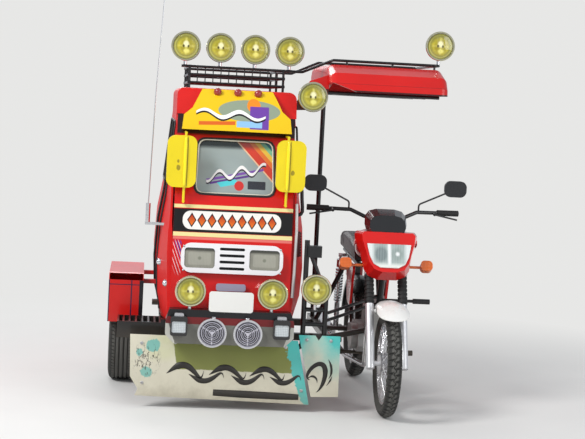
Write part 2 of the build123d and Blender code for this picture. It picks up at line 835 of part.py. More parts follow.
rear_guard_radius = rear_tyre_radius + 38
rear_guard_axis = Axis(rear_axle, (1, 0, 0))
rear_guard_half = 62.0
rear_guard_back_turn = -76.0
rear_guard_front_turn = 40.0
lamp_post_y = rear_axle_y + 212.0
lamp_post_z = (560.0, 668.0)
with BuildPart() as rear_guard:
    revolve(
        guard_section(
            rear_guard_axis,
            rear_guard_radius,
            rear_guard_half,
            guard_crown,
            guard_skirt,
            rear_guard_back_turn,
        ),
        axis=rear_guard_axis,
        revolution_arc=rear_guard_front_turn - rear_guard_back_turn,
    )
    post_foot = rear_tyre_radius + rear_guard_radius - 12
    post_top = loop_end[1] - frame_tube - seat_gap
    block(vec(bike_x - 15, loop_end[0] - 14, post_foot), vec(bike_x + 15, loop_end[0] + 14, post_top))
    block(vec(bike_x - 20, lamp_post_y - 14, lamp_post_z[0]), vec(bike_x + 20, lamp_post_y, lamp_post_z[1]))
finish(rear_guard, "rear_guard")

cover_in = rail_half + frame_tube + seat_gap
cover_wall = 14.0
# distance back, height
side_cover_rows = ((20, 742), (330, 748), (236, 520), (110, 486))
with BuildPart() as side_covers:
    for side in (-1, 1):
        low = min(side * cover_in, side * (cover_in + cover_wall))
        with BuildSketch(Plane((bike_x + low, middle_y, 0), (0, 1, 0), (1, 0, 0))) as cover:
            with BuildLine():
                Polyline(*side_cover_rows, close=True)
            make_face()
            fillet(cover.vertices(), 24)
        extrude(amount=cover_wall)
finish(side_covers, "side_covers")

# Chassis of the cab: a ladder of square tube under the floor, with arms to the motorcycle
rail_top = rail_base + rail_size
bumper_back_y = face_base_y - 22.0
bumper_depth = 78.0
board_wall = 8.0
flap_wall = 6.0
right_rail_x = cab_x - 346.0
left_rail_x = cab_x + 346.0
arm_rail_x = 250.0
chassis_front_y = bumper_back_y + board_wall + 2 * seat_gap
cross_ys = [middle_y + back for back in (-520, -100, 340, 820)]
arm_ys = (down_foot.Y, middle_y + 330)
bumper_bar_radius = 20.0
strut_y = middle_y + 370.0
arm_back_y = middle_y + 620.0
rail_mid = rail_base + rail_size / 2

with BuildPart() as chassis:
    for x in (right_rail_x, left_rail_x):
        block(
            vec(x - rail_size / 2, chassis_front_y, rail_base),
            vec(x + rail_size / 2, half_length - bumper_bar_radius, rail_top),
        )
    for y in cross_ys:
        block(vec(right_rail_x, y - rail_size / 2, rail_base), vec(left_rail_x, y + rail_size / 2, rail_top))
        for x in (right_rail_x, left_rail_x):
            block(vec(x - 20, y - 30, rail_top), vec(x + 20, y + 30, cab_base - seat_gap))
    rod(
        vec(right_rail_x - 60, half_length - bumper_bar_radius, rail_mid),
        vec(left_rail_x + 60, half_length - bumper_bar_radius, rail_mid),
        bumper_bar_radius,
    )
    block(
        vec(arm_rail_x - rail_size / 2, arm_ys[0] - 20, rail_base),
        vec(arm_rail_x + rail_size / 2, arm_back_y, rail_top),
    )
    for y in arm_ys:
        block(vec(left_rail_x, y - rail_size / 2, rail_base), vec(arm_rail_x, y + rail_size / 2, rail_top))
    rod(vec(arm_rail_x, arm_ys[0], rail_mid), down_foot - vec(24 + seat_gap, -4, 0), 16)
    pivot_link = vec(arm_rail_x, pivot_y - 33, rail_mid)
    rod(pivot_link, vec(bike_x - rail_half - seat_gap, pivot_link.Y, pivot_link.Z), 12)
    rod(
        vec(arm_rail_x, strut_y, rail_mid),
        vec(bike_x - rail_half - frame_tube - 1, strut_y, seat_rail_z - 9),
        14,
    )
    add(bike_frame.part, mode=Mode.SUBTRACT)
finish(chassis, "chassis")

# Stub axle of the cab's wheel on a short leaf spring under the right rail
with BuildPart() as side_axle:
    axle_at = vec(side_wheel_x, side_axle_y, side_tyre_radius)
    rod(axle_at - vec(side_hub_half + 14, 0, 0), axle_at + vec(side_hub_half + 90, 0, 0), side_stub_radius)
    rod(
        axle_at + vec(side_hub_half + seat_gap, 0, 0),
        axle_at + vec(side_hub_half + 110, 0, 0),
        side_stub_radius + 12,
    )
    block(
        vec(side_wheel_x + side_hub_half + 70, side_axle_y - 26, side_tyre_radius - 16),
        vec(right_rail_x + 26, side_axle_y + 26, side_tyre_radius + 16),
    )
    # leaf, half length, lift of its ends
    leaf_base = side_tyre_radius + 16
    for leaf, half_leaf in enumerate((90, 150, 210)):
        block(
            vec(right_rail_x - 25, side_axle_y - half_leaf, leaf_base + leaf * 8),
            vec(right_rail_x + 25, side_axle_y + half_leaf, leaf_base + leaf * 8 + 8),
        )
    for end in (-1, 1):
        block(
            vec(right_rail_x - 25, side_axle_y + end * 200 - 12, leaf_base + 24),
            vec(right_rail_x + 25, side_axle_y + end * 200 + 12, rail_base - seat_gap),
        )
finish(side_axle, "side_axle")


# Cab. The sides swell out below the waist and lean in above it, and run in to the narrow face
# half width of the body behind the corners, half width at the face, height
side_rows = (
    (366, 324, cab_base),
    (404, 324, 600),
    (413, 324, 760),
    (402, 324, 980),
    (374, 324, cab_waist),
    (331, 331, cab_eaves),
)
corner_front_y = face_base_y - 30
back_in_y = cab_back_y - cab_wall


def side_section(side, y, column):
    """The side wall's section across the cab, on the given side."""
    outer = [(side * row[column], row[2]) for row in side_rows]
    inner = [(side * (row[column] - cab_wall), row[2]) for row in reversed(side_rows)]
    with BuildSketch(Plane((cab_x, y, 0), (1, 0, 0), (0, -1, 0))) as section:
        with BuildLine():
            Polyline(*outer, *inner, close=True)
        make_face()
    return section.sketch


# The face: one folded panel from the floor to the eaves, with the windshield opening
face_profile = ((face_base_y, cab_base), (face_waist_y, cab_waist), (face_eaves_y, cab_eaves))
shield_low = 1165.0
shield_high = 1458.0
shield_low_half = 216.0
shield_high_half = 206.0
shield_round = 34.0
shield_outline = (
    (-shield_low_half, shield_low),
    (shield_low_half, shield_low),
    (shield_high_half, shield_high),
    (-shield_high_half, shield_high),
)


def face_slab(start, end):
    """The folded panel between two distances behind the face."""
    front = [(y + start, z) for y, z in face_profile]
    back = [(y + end, z) for y, z in reversed(face_profile)]
    with BuildSketch(Plane((cab_x - cab_face_half, 0, 0), (0, 1, 0), (1, 0, 0))) as outline:
        with BuildLine():
            Polyline(*front, *back, close=True)
        make_face()
    extrude(outline.sketch, amount=2 * cab_face_half)


def shield_tool(grow, depth, mode):
    """The windshield's rounded outline pushed through the face."""
    with BuildSketch(Plane((cab_x, face_base_y, 0), (1, 0, 0), (0, -1, 0))) as outline:
        with BuildLine():
            Polyline(*shield_outline, close=True)
        make_face()
        fillet(outline.vertices(), shield_round)
        offset(amount=grow)
    extrude(outline.sketch, amount=-depth, mode=mode)


with BuildPart() as cab_face:
    face_slab(0, cab_wall)
    shield_tool(0, 400, Mode.SUBTRACT)
finish(cab_face, "cab_face")

glass_set_back = 9.0
glass_wall = 6.0
with BuildPart() as windshield:
    face_slab(glass_set_back, glass_set_back + glass_wall)
    shield_tool(-seat_gap, 400, Mode.INTERSECT)
finish(windshield, "windshield")

door_front_y = middle_y - 430.0
door_back_y = middle_y + 20.0
door_head = 1545.0
window_sill = 1182.0
left_window_ys = (middle_y - 470.0, middle_y + 620.0)
right_window_ys = (middle_y + 90.0, middle_y + 700.0)
back_window_half = 226.0


def cab_side(side, name, cuts):
    """One side wall with its corner run into the face, and its openings."""
    with BuildPart() as wall:
        loft([side_section(side, corner_front_y, 1), side_section(side, corner_back_y, 0)], ruled=True)
        extrude(side_section(side, corner_back_y, 0), amount=-(back_in_y - corner_back_y))
        face_cut = [(y + cab_wall, z) for y, z in face_profile]
        face_cut = [(corner_front_y - 60, cab_base), *face_cut, (corner_front_y - 60, cab_eaves)]
        with BuildSketch(Plane((cab_x - 500, 0, 0), (0, 1, 0), (1, 0, 0))) as ahead:
            with BuildLine():
                Polyline(*face_cut, close=True)
            make_face()
        extrude(ahead.sketch, amount=1000, mode=Mode.SUBTRACT)
        for start, end, low, high in cuts:
            with BuildSketch(Plane((cab_x, 0, 0), (0, 1, 0), (1, 0, 0))) as opening:
                with BuildLine():
                    Polyline((start, low), (end, low), (end, high), (start, high), close=True)
                make_face()
                fillet(opening.vertices(), 30)
            extrude(opening.sketch, amount=side * 500, mode=Mode.SUBTRACT)
    finish(wall, name)
    return wall


floor_top = cab_base + floor_thickness
cab_right = cab_side(
    -1,
    "cab_right",
    (
        (door_front_y, door_back_y, floor_top + 12, door_head),
        (right_window_ys[0], right_window_ys[1], window_sill, door_head),
    ),
)
cab_left = cab_side(1, "cab_left", ((left_window_ys[0], left_window_ys[1], window_sill, door_head),))

with BuildPart() as cab_back:
    outline = [(row[0], row[2]) for row in side_rows]
    mirrored = [(-half, height) for half, height in reversed(outline)]
    with BuildSketch(Plane((cab_x, back_in_y, 0), (1, 0, 0), (0, -1, 0))):
        with BuildLine():
            Polyline(*outline, *mirrored, close=True)
        make_face()
    extrude(amount=-cab_wall)
    with BuildSketch(Plane((cab_x, back_in_y, 0), (1, 0, 0), (0, -1, 0))) as back_window:
        with Locations((0, (window_sill + door_head) / 2)):
            RectangleRounded(2 * back_window_half, door_head - window_sill, 40)
    extrude(back_window.sketch, amount=-cab_wall, mode=Mode.SUBTRACT)
finish(cab_back, "cab_back")

# Floor, with the bench's plinth standing on it
bench_front_y = middle_y + 330.0
bench_top = 740.0
floor_half_front = cab_face_half - cab_wall - seat_gap
floor_half_back = side_rows[0][0] - cab_wall - seat_gap
floor_front_y = face_base_y + cab_wall + floor_thickness * face_lean + seat_gap
with BuildPart() as cab_floor:
    with BuildSketch(Plane((cab_x, 0, cab_base), (1, 0, 0), (0, 0, 1))):
        with BuildLine():
            Polyline(
                (-floor_half_front, floor_front_y),
                (floor_half_front, floor_front_y),
                (floor_half_back, corner_back_y),
                (floor_half_back, back_in_y - seat_gap),
                (-floor_half_back, back_in_y - seat_gap),
                (-floor_half_back, corner_back_y),
                close=True,
            )
        make_face()
    extrude(amount=floor_thickness)
    block(
        vec(cab_x - floor_half_back, bench_front_y, floor_top),
        vec(cab_x + floor_half_back, back_in_y - seat_gap, bench_top),
    )
    block(
        vec(cab_x - floor_half_back + 20, bench_front_y + 20, floor_top),
        vec(cab_x + floor_half_back - 20, back_in_y - 20, bench_top - 20),
        Mode.SUBTRACT,
    )
finish(cab_floor, "cab_floor")

with BuildPart() as bench_seat:
    block(
        vec(cab_x - floor_half_back + 6, bench_front_y - 10, bench_top + seat_gap),
        vec(cab_x + floor_half_back - 6, back_in_y - 102, bench_top + 90),
    )
    fillet(bench_seat.edges().group_by(Axis.Z)[-1], 24)
finish(bench_seat, "bench_seat")

with BuildPart() as bench_back:
    block(
        vec(cab_x - floor_half_back + 6, back_in_y - 100, bench_top + seat_gap),
        vec(cab_x + floor_half_back - 6, back_in_y - seat_gap, window_sill - 22),
    )
    fillet(bench_back.edges().group_by(Axis.Y)[0], 24)
finish(bench_back, "bench_back")

# Roof: a pressed cap with deep skirts
roof_round = 42.0
with BuildPart() as cab_roof:
    with BuildSketch(Plane((cab_x - cab_roof_half, 0, 0), (0, 1, 0), (1, 0, 0))):
        with BuildLine():
            Polyline(
                (face_eaves_y, cab_eaves), (roof_front_y, cab_roof_top),
                (cab_back_y, cab_roof_top), (cab_back_y, cab_eaves), close=True,
            )
        make_face()
    extrude(amount=2 * cab_roof_half)
    fillet(cab_roof.edges().group_by(Axis.Z)[-1], roof_round)
    with BuildSketch(Plane((cab_x - cab_roof_half + cab_wall, 0, 0), (0, 1, 0), (1, 0, 0))):
        with BuildLine():
            Polyline(
                (face_eaves_y + cab_wall, cab_eaves),
                (roof_front_y + cab_wall, cab_roof_top - cab_wall),
                (cab_back_y - cab_wall, cab_roof_top - cab_wall),
                (cab_back_y - cab_wall, cab_eaves),
                close=True,
            )
        make_face()
    extrude(amount=2 * (cab_roof_half - cab_wall), mode=Mode.SUBTRACT)
finish(cab_roof, "cab_roof")

# Yellow board over the windshield, stepped in towards its top, leaning with the roof
brow_low = 1508.0
brow_lip = 75.0
# half width, height above the lower edge
brow_rows = ((300, 0), (292, 78), (246, 118), (194, 224))
# the board leans back by this much up to its fold, and runs from there to its top
brow_fold = (54.0, 152.0)
brow_top = (131.0, 232.0)
with BuildPart() as brow:
    with BuildSketch(Plane((cab_x, face_base_y, brow_low), (1, 0, 0), (0, -1, 0))):
        with BuildLine():
            Polyline(*half_outline(brow_rows), close=True)
        make_face()
    extrude(amount=-500)
    lip_y = face_waist_y + (brow_low - cab_waist) * (face_eaves_y - face_waist_y) / (
        cab_eaves - cab_waist
    ) - brow_lip
    with BuildSketch(Plane((cab_x - 400, 0, 0), (0, 1, 0), (1, 0, 0))):
        with BuildLine():
            Polyline(
                (lip_y, brow_low),
                (lip_y + brow_fold[0], brow_low + brow_fold[1]),
                (lip_y + brow_top[0], brow_low + brow_top[1]),
                (roof_front_y + 40, brow_low + brow_top[1]),
                (roof_front_y + 40, brow_low),
                close=True,
            )
        make_face()
    extrude(amount=800, mode=Mode.INTERSECT)
    with BuildSketch(Plane((cab_x - 400, 0, 0), (0, 1, 0), (1, 0, 0))):
        with BuildLine():
            Polyline(
                (lip_y + brow_lip, brow_low), (face_eaves_y, cab_eaves), (roof_front_y, cab_roof_top),
                (0, cab_roof_top), (0, brow_low), close=True,
            )
        make_face()
    extrude(amount=800, mode=Mode.SUBTRACT)
finish(brow, "brow")


# Front of the cab: grille surround, lamps, plate, bumper
bezel_half = 277.0
bezel_low = 735.0
bezel_high = 896.0
bezel_depth = 34.0
headlamp_x = 176.0
headlamp_size = (164.0, 108.0)
headlamp_round = 18.0
headlamp_floor = 8.0
slot_count = 4
slot_size = (136.0, 15.0)
slot_pitch = 35.0

with BuildPart() as grille:
    middle = (on_face(bezel_low) + on_face(bezel_high)) / 2
    with BuildSketch(face_plane):
        with Locations((0, middle)):
            RectangleRounded(2 * bezel_half, bezel_high - bezel_low, 58)
    extrude(amount=bezel_depth)
    with BuildSketch(face_plane.offset(bezel_depth)):
        with Locations((-headlamp_x, middle), (headlamp_x, middle)):
            RectangleRounded(*headlamp_size, headlamp_round)
        with Locations((0, middle)):
            with GridLocations(0, slot_pitch, 1, slot_count):
                RectangleRounded(*slot_size, 7)
    extrude(amount=headlamp_floor - bezel_depth, mode=Mode.SUBTRACT)
finish(grille, "grille")

with BuildPart() as cab_headlamps:
    with BuildSketch(face_plane.offset(headlamp_floor)):
        with Locations((-headlamp_x, middle), (headlamp_x, middle)):
            RectangleRounded(
                headlamp_size[0] - 2 * seat_gap,
                headlamp_size[1] - 2 * seat_gap,
                headlamp_round - seat_gap,
            )
    extrude(amount=bezel_depth - headlamp_floor - 6)
finish(cab_headlamps, "cab_headlamps")

bumper_top = 552.0
bumper_low = 367.0
bumper_front_y = bumper_back_y - bumper_depth
bumper_wall = 8.0
# half width, height
bumper_rows = ((298, bumper_low), (345, 414), (345, 492), (326, bumper_top))
bumper_in_rows = ((294, bumper_low + bumper_wall), (337, 417), (337, 490), (319, bumper_top - bumper_wall))
with BuildPart() as bumper:
    for rows, start, mode in ((bumper_rows, 0, Mode.ADD), (bumper_in_rows, bumper_wall, Mode.SUBTRACT)):
        with BuildSketch(Plane((cab_x, bumper_front_y + start, 0), (1, 0, 0), (0, -1, 0))) as outline:
            with BuildLine():
                Polyline(*half_outline(rows), close=True)
            make_face()
        extrude(outline.sketch, amount=-(bumper_depth - start), mode=mode)
finish(bumper, "bumper")

# A blank plate standing on the bumper's front edge, and the lamp bar over it on the face
plate_size = (238.0, 110.0)
plate_level = 600.0
plate_wall = 3.0
plate_lamp_level = 663.0
plate_lamp_size = (160.0, 40.0)
plate_lamp_depth = 24.0
bumper_plane = Plane((cab_x, bumper_front_y - seat_gap, 0), (1, 0, 0), (0, -1, 0))
with BuildPart() as number_plate:
    with BuildSketch(bumper_plane):
        with Locations((0, plate_level)):
            RectangleRounded(*plate_size, 16)
    extrude(amount=plate_wall)
    with BuildSketch(face_plane):
        with Locations((0, on_face(plate_lamp_level))):
            RectangleRounded(*plate_lamp_size, 12)
    extrude(amount=plate_lamp_depth)
finish(number_plate, "number_plate")

# Two round horns behind ribbed grilles and two square fog lamps on the bumper
horn_x = 96.0
horn_z = 433.0
horn_radius = 78.0
horn_depth = 26.0
horn_rim = 10.0
horn_rings = 3
horn_ring_pitch = 20.0
fog_x = 275.0
fog_z = 466.0
fog_size = (90.0, 104.0)
fog_glass_size = (74.0, 60.0)
fog_depth = 46.0
fog_cap_size = (50.0, 34.0)
with BuildPart() as bumper_lights:
    with BuildSketch(bumper_plane):
        with Locations((-horn_x, horn_z), (horn_x, horn_z)):
            Circle(horn_radius)
    extrude(amount=horn_depth)
    with BuildSketch(bumper_plane.offset(horn_depth)):
        with Locations((-horn_x, horn_z), (horn_x, horn_z)):
            for ring in range(horn_rings):
                Circle(horn_radius - horn_rim - ring * horn_ring_pitch)
                Circle(horn_radius - 2 * horn_rim - ring * horn_ring_pitch, mode=Mode.SUBTRACT)
    extrude(amount=-horn_rim, mode=Mode.SUBTRACT)
    with BuildSketch(bumper_plane):
        with Locations((-fog_x, fog_z), (fog_x, fog_z)):
            RectangleRounded(*fog_size, 12)
    extrude(amount=fog_depth)
    with BuildSketch(bumper_plane):
        with Locations((-fog_x, fog_z + fog_size[1] / 2), (fog_x, fog_z + fog_size[1] / 2)):
            RectangleRounded(*fog_cap_size, 8)
    extrude(amount=fog_depth - 12)
    with BuildSketch(bumper_plane.offset(fog_depth)):
        with Locations((-fog_x, fog_z - 5), (fog_x, fog_z - 5)):
            RectangleRounded(*fog_glass_size, 8)
    extrude(amount=-5, mode=Mode.SUBTRACT)
finish(bumper_lights, "bumper_lights")

# Yellow lamps: bowl and rim in one, each on a short foot; the lens is its own piece
rack_rail_z = 1856.0
bar_tube = 8.0
rack_front_y = middle_y - 230.0
lamp_pitch = 195.0
rack_lamp_z = 1966.0
cab_lamp_x = 220.0
cab_lamp_z = 651.0
tube_lamp = (126.0, 680.0)
link_y = face_base_y + 30.0
link_bar_z = 560.0
canopy_rail_z = 1930.0
canopy_left = 822.0
canopy_rail_y = middle_y - 300.0
# x, back of the bowl, height of the centre, height of what carries the foot
lamp_rows = [
    (cab_x + (index - 1.5) * lamp_pitch, rack_front_y + 25, rack_lamp_z, rack_rail_z + bar_tube)
    for index in range(4)
]
lamp_rows += [
    (cab_x - cab_lamp_x, bumper_front_y + 55, cab_lamp_z, bumper_top),
    (cab_x + cab_lamp_x, bumper_front_y + 55, cab_lamp_z, bumper_top),
    (tube_lamp[0], link_y - link_radius - 4, tube_lamp[1], link_bar_z + 5),
    (canopy_left - 22, canopy_rail_y + 25, 2040, canopy_rail_z + bar_tube),
]
wing_y = middle_y - 430.0
wing_lamp = (78, wing_y - 10, 1717)
recess = 50.0
rim_inner = lamp_radius - lamp_rim
# radius, distance ahead of the back
bowl_rows = (
    (0, 0), (34, 0), (70, 28), (lamp_radius, 46), (lamp_radius, lamp_depth),
    (rim_inner, lamp_depth), (rim_inner, recess), (0, recess),
)
lens_rows = (
    (0, recess + seat_gap), (rim_inner - seat_gap, recess + seat_gap),
    (rim_inner - seat_gap, lamp_depth - 3), (46, lamp_depth + 5), (0, lamp_depth + 8),
)


def lamp_turning(rows, x, y, z):
    """A lamp form turned about its own fore-and-aft line."""
    with BuildSketch(Plane((x, y, z), (1, 0, 0), (0, 0, 1))) as section:
        with BuildLine():
            Polyline(*[(radius, -ahead) for radius, ahead in rows], close=True)
        make_face()
    revolve(section.sketch, axis=Axis((x, y, z), (0, 1, 0)))


with BuildPart() as lamp_bowls:
    for x, y, z, foot_z in lamp_rows:
        lamp_turning(bowl_rows, x, y, z)
        rod(vec(x, y - 25, foot_z + seat_gap), vec(x, y - 25, z - 50), lamp_foot_radius)
    lamp_turning(bowl_rows, *wing_lamp)
    rod(vec(wing_lamp[0], wing_y - seat_gap, wing_lamp[2]), vec(*wing_lamp) - vec(0, 4, 0), 16)
finish(lamp_bowls, "lamp_bowls")

with BuildPart() as lamp_lenses:
    for x, y, z in [row[:3] for row in lamp_rows] + [wing_lamp]:
        lamp_turning(lens_rows, x, y, z)
finish(lamp_lenses, "lamp_lenses")

# Red lamps: three domes along the top of the brow and the tail lamp
dome_pitch = 112.0
dome_radius = 22.0
dome_base = 8.0
dome_level = brow_low + 205.0
brow_rise = vec(0, brow_top[0] - brow_fold[0], brow_top[1] - brow_fold[1]).normalized()
brow_out = vec(0, -brow_rise.Z, brow_rise.Y)
dome_y = lip_y + brow_fold[0] + (dome_level - brow_low - brow_fold[1]) * brow_rise.Y / brow_rise.Z
tail_lamp_half = 52.0
with BuildPart() as red_lamps:
    for index in (-1, 0, 1):
        foot = vec(cab_x + index * dome_pitch, dome_y, dome_level) + brow_out * seat_gap
        with BuildSketch(Plane(origin=foot, x_dir=(1, 0, 0), z_dir=-brow_rise)) as dome:
            with BuildLine():
                Polyline((0, dome_base + dome_radius), (0, 0), (dome_radius, 0), (dome_radius, dome_base))
                RadiusArc((dome_radius, dome_base), (0, dome_base + dome_radius), -dome_radius)
            make_face()
        revolve(dome.sketch, axis=Axis(foot, brow_out))
    block(
        vec(bike_x - tail_lamp_half, lamp_post_y + seat_gap, lamp_post_z[0] + 44),
        vec(bike_x + tail_lamp_half, lamp_post_y + 46, lamp_post_z[1] - 4),
    )
finish(red_lamps, "red_lamps")

# Luggage rack of thin tube on the roof, with the lamp bar, and the rail over the canopy
rack_half = 265.0
rack_back_y = middle_y + 700.0
rack_levels = (1766.0, 1811.0, rack_rail_z)
with BuildPart() as roof_rack:
    over = bar_tube + 2
    for level in rack_levels:
        for side in (-1, 1):
            x = cab_x + side * rack_half
            rod(vec(x, rack_front_y - over, level), vec(x, rack_back_y + over, level), bar_tube)
        for y in (rack_front_y, rack_back_y):
            reach = rack_half + over
            if (y, level) == (rack_front_y, rack_rail_z):
                reach = 1.5 * lamp_pitch + 20
            rod(vec(cab_x - reach, y, level), vec(cab_x + reach, y, level), bar_tube)
    for y in (rack_front_y, (rack_front_y + rack_back_y) / 2, rack_back_y):
        for side in (-1, 1):
            x = cab_x + side * rack_half
            rod(vec(x, y, cab_roof_top + seat_gap), vec(x, y, rack_rail_z + 3), bar_tube - 1)
    slat_count = 7
    for slat in range(1, slat_count):
        y = rack_front_y + (rack_back_y - rack_front_y) * slat / slat_count
        rod(vec(cab_x - rack_half, y, rack_levels[0]), vec(cab_x + rack_half, y, rack_levels[0]), 6)
    upright_count = 12
    for upright in range(1, upright_count):
        x = cab_x - rack_half + 2 * rack_half * upright / upright_count
        rod(vec(x, rack_front_y, rack_levels[0] - 4), vec(x, rack_front_y, rack_rail_z + 4), 3)
finish(roof_rack, "roof_rack")

# Canopy over the rider: a moulded shell with a wing that runs down to the cab
canopy_right = 165.0
canopy_wall = 14.0
canopy_low = 1757.0
canopy_top = 1905.0
canopy_back = 540.0
# distance back, height: round the outside and the inside from the front lip over the top
canopy_profile = (
    (-560, canopy_low), (-556, 1800), (-500, 1858), (-330, canopy_top),
    (480, canopy_top), (canopy_back, 1860), (canopy_back, canopy_low),
)
canopy_in_profile = (
    (-560 + canopy_wall, canopy_low), (-543, 1792), (-494, 1843), (-328, canopy_top - canopy_wall),
    (476, canopy_top - canopy_wall), (canopy_back - canopy_wall, 1854),
    (canopy_back - canopy_wall, canopy_low),
)
# the lower front corner by the cab is cut off along a slope: lift at the corner, run each way
corner_lift = 52.0
corner_runs = (150.0, 300.0)
with BuildPart() as canopy:
    with BuildSketch(Plane((canopy_right, middle_y, 0), (0, 1, 0), (1, 0, 0))):
        with BuildLine():
            Polyline(*canopy_profile, close=True)
        make_face()
    extrude(amount=canopy_left - canopy_right)
    ends = canopy.edges().filter_by(
        lambda edge: edge.center().Z > canopy_low + 1
        and abs(edge.center().X - (canopy_left + canopy_right) / 2) > 300
    )
    fillet(ends, 40)
    with BuildSketch(Plane((canopy_right + canopy_wall, middle_y, 0), (0, 1, 0), (1, 0, 0))):
        with BuildLine():
            Polyline(*canopy_in_profile, close=True)
        make_face()
    extrude(amount=canopy_left - canopy_right - 2 * canopy_wall, mode=Mode.SUBTRACT)
    slope_down = vec(-corner_lift / corner_runs[0], -corner_lift / corner_runs[1], -1)
    corner = vec(canopy_right, middle_y + canopy_profile[0][0], canopy_low + corner_lift)
    with BuildSketch(Plane(origin=corner, x_dir=(1, 0, -corner_lift / corner_runs[0]), z_dir=slope_down)):
        Rectangle(1000, 1000)
    extrude(amount=200, mode=Mode.SUBTRACT)
    with BuildSketch(Plane((0, wing_y, 0), (1, 0, 0), (0, -1, 0))):
        with BuildLine():
            Polyline(
                (cab_x + cab_roof_half + seat_gap, 1640), (cab_x + cab_roof_half + seat_gap, 1690),
                (64, 1806), (canopy_right + 6, 1846), (canopy_right + 6, 1758), (150, 1650), close=True,
            )
        make_face()
    extrude(amount=-12)
finish(canopy, "canopy")

tube_under = 9.0
canopy_tube_z = canopy_low - tube_under - seat_gap
canopy_tube_ys = [middle_y + back for back in (-380, 60, 500)]
post_x = arm_rail_x
with BuildPart() as canopy_frame:
    for y in canopy_tube_ys:
        bent_tube(
            [
                vec(cab_x + cab_roof_half + seat_gap, y, 1652),
                vec(80, y, 1652),
                vec(150, y, canopy_tube_z),
                vec(canopy_left - 20, y, canopy_tube_z),
            ],
            40,
            tube_under,
        )
    rod(
        vec(canopy_left - 60, canopy_tube_ys[0], canopy_tube_z),
        vec(canopy_left - 60, canopy_tube_ys[-1], canopy_tube_z),
        tube_under - 1,
    )
    rod(
        vec(post_x, canopy_tube_ys[-1], rail_top + seat_gap),
        vec(post_x, canopy_tube_ys[-1], canopy_tube_z),
        link_radius,
    )
    rod(
        vec(post_x, canopy_tube_ys[0], canopy_tube_z),
        vec(post_x, canopy_tube_ys[-1], canopy_tube_z),
        tube_under - 1,
    )
finish(canopy_frame, "canopy_frame")

# Rail over the canopy, from the rack and back
with BuildPart() as canopy_rail:
    bent_tube(
        [
            vec(cab_x + rack_half + bar_tube + seat_gap, rack_front_y + 30, rack_rail_z),
            vec(40, rack_front_y + 30, rack_rail_z),
            vec(200, canopy_rail_y, canopy_rail_z),
            vec(canopy_left - 14, canopy_rail_y, canopy_rail_z),
            vec(canopy_left - 14, 470, canopy_rail_z),
            vec(200, 470, canopy_rail_z),
            vec(40, 470, rack_rail_z),
            vec(cab_x + rack_half + bar_tube + seat_gap, 470, rack_rail_z),
        ],
        30,
        bar_tube,
    )
    for x in (280, 540, 780):
        for y in (canopy_rail_y, 470):
            rod(vec(x, y, canopy_top + seat_gap), vec(x, y, canopy_rail_z), 6)
finish(canopy_rail, "canopy_rail")

# Painted boards hung behind the bumper
with BuildPart() as front_boards:
    with BuildSketch(Plane((0, bumper_back_y + seat_gap, 0), (1, 0, 0), (0, -1, 0))):
        with BuildLine():
            Polyline(
                (-864, 396), (-856, 168), (-812, 100), (-828, 64), (120, 44), (44, 392), close=True,
            )
        make_face()
    extrude(amount=-board_wall)
    with BuildSketch(Plane((0, chassis_front_y + seat_gap, 0), (1, 0, 0), (0, -1, 0))):
        with BuildLine():
            Polyline(
                (48, 424), (140, 424), (158, 396), (176, 424), (276, 424), (280, 90), (130, 86),
                close=True,
            )
        make_face()
    extrude(amount=-flap_wall)
finish(front_boards, "front_boards")

# Tubes from the cab's frame to the motorcycle's down tube: an inner and an outer post, cross
# tubes, a bar behind the flap, braces and two long stays
post_in_x = 72.0
post_out_x = 190.0
post_in_top = 940.0
post_out_zs = (388.0, 645.0)
cross_levels = (408.0, 480.0, link_bar_z)
flap_bar_xs = (140.0, 284.0)
flap_bar_z = 405.0
brace_x = 150.0
box_zs = (850.0, 912.0)
# height on the outer post, height on the down tube
stay_levels = ((500, 566), (540, 610))
down_slope = (down_foot.Y - down_head.Y) / (down_head.Z - down_foot.Z)

with BuildPart() as link_tubes:
    bar_y = chassis_front_y + flap_wall + 2 * seat_gap + link_radius
    rail_side_x = left_rail_x + rail_size / 2 + seat_gap
    post_foot = vec(post_in_x, link_y, rail_mid)
    bent_tube(
        [vec(rail_side_x, link_y, rail_mid), post_foot, vec(post_in_x, link_y, post_in_top)],
        26,
        link_radius,
    )
    rod(vec(post_out_x, link_y, post_out_zs[0]), vec(post_out_x, link_y, post_out_zs[1]), link_radius)
    for level in cross_levels:
        rod(vec(post_in_x, link_y, level), vec(post_out_x, link_y, level), link_radius - 2)
    rod(vec(flap_bar_xs[0], bar_y, flap_bar_z), vec(flap_bar_xs[1], bar_y, flap_bar_z), link_radius)
    rod(vec(brace_x, link_y, flap_bar_z + 1), vec(brace_x, bar_y, flap_bar_z + 1), link_radius - 3)
    rod(
        vec(post_in_x, link_y, post_in_top - 20),
        vec(post_out_x, link_y, post_out_zs[1] - 7),
        link_radius - 2,
    )
    rod(vec(post_in_x, link_y, 600), vec(brace_x, link_y, 740), link_radius - 4)
    lamp_shelf = vec(tube_lamp[0], link_y, link_bar_z)
    block(lamp_shelf - vec(18, 62, 5), lamp_shelf + vec(18, 0, 5))
    block(vec(post_in_x + 2, link_y - 44, box_zs[0]), vec(brace_x, link_y + 10, box_zs[1]))
    for low, high in stay_levels:
        end_y = down_foot.Y - (high - down_foot.Z) * down_slope
        rod(vec(post_out_x, link_y, low), vec(bike_x - 12, end_y, high), 9)
    add(bike_frame.part, mode=Mode.SUBTRACT)
finish(link_tubes, "link_tubes")

# Yellow mirror backs on upright rods beside the windshield
mirror_pitch = 296.0
mirror_size = (160.0, 280.0)
mirror_y = face_base_y + 50.0
shell_z = 1335.0
mirror_wall = 34.0
mirror_rod = 7.0
mirror_rod_pitch = 278.0
mirror_rod_zs = (1118.0, 1490.0)


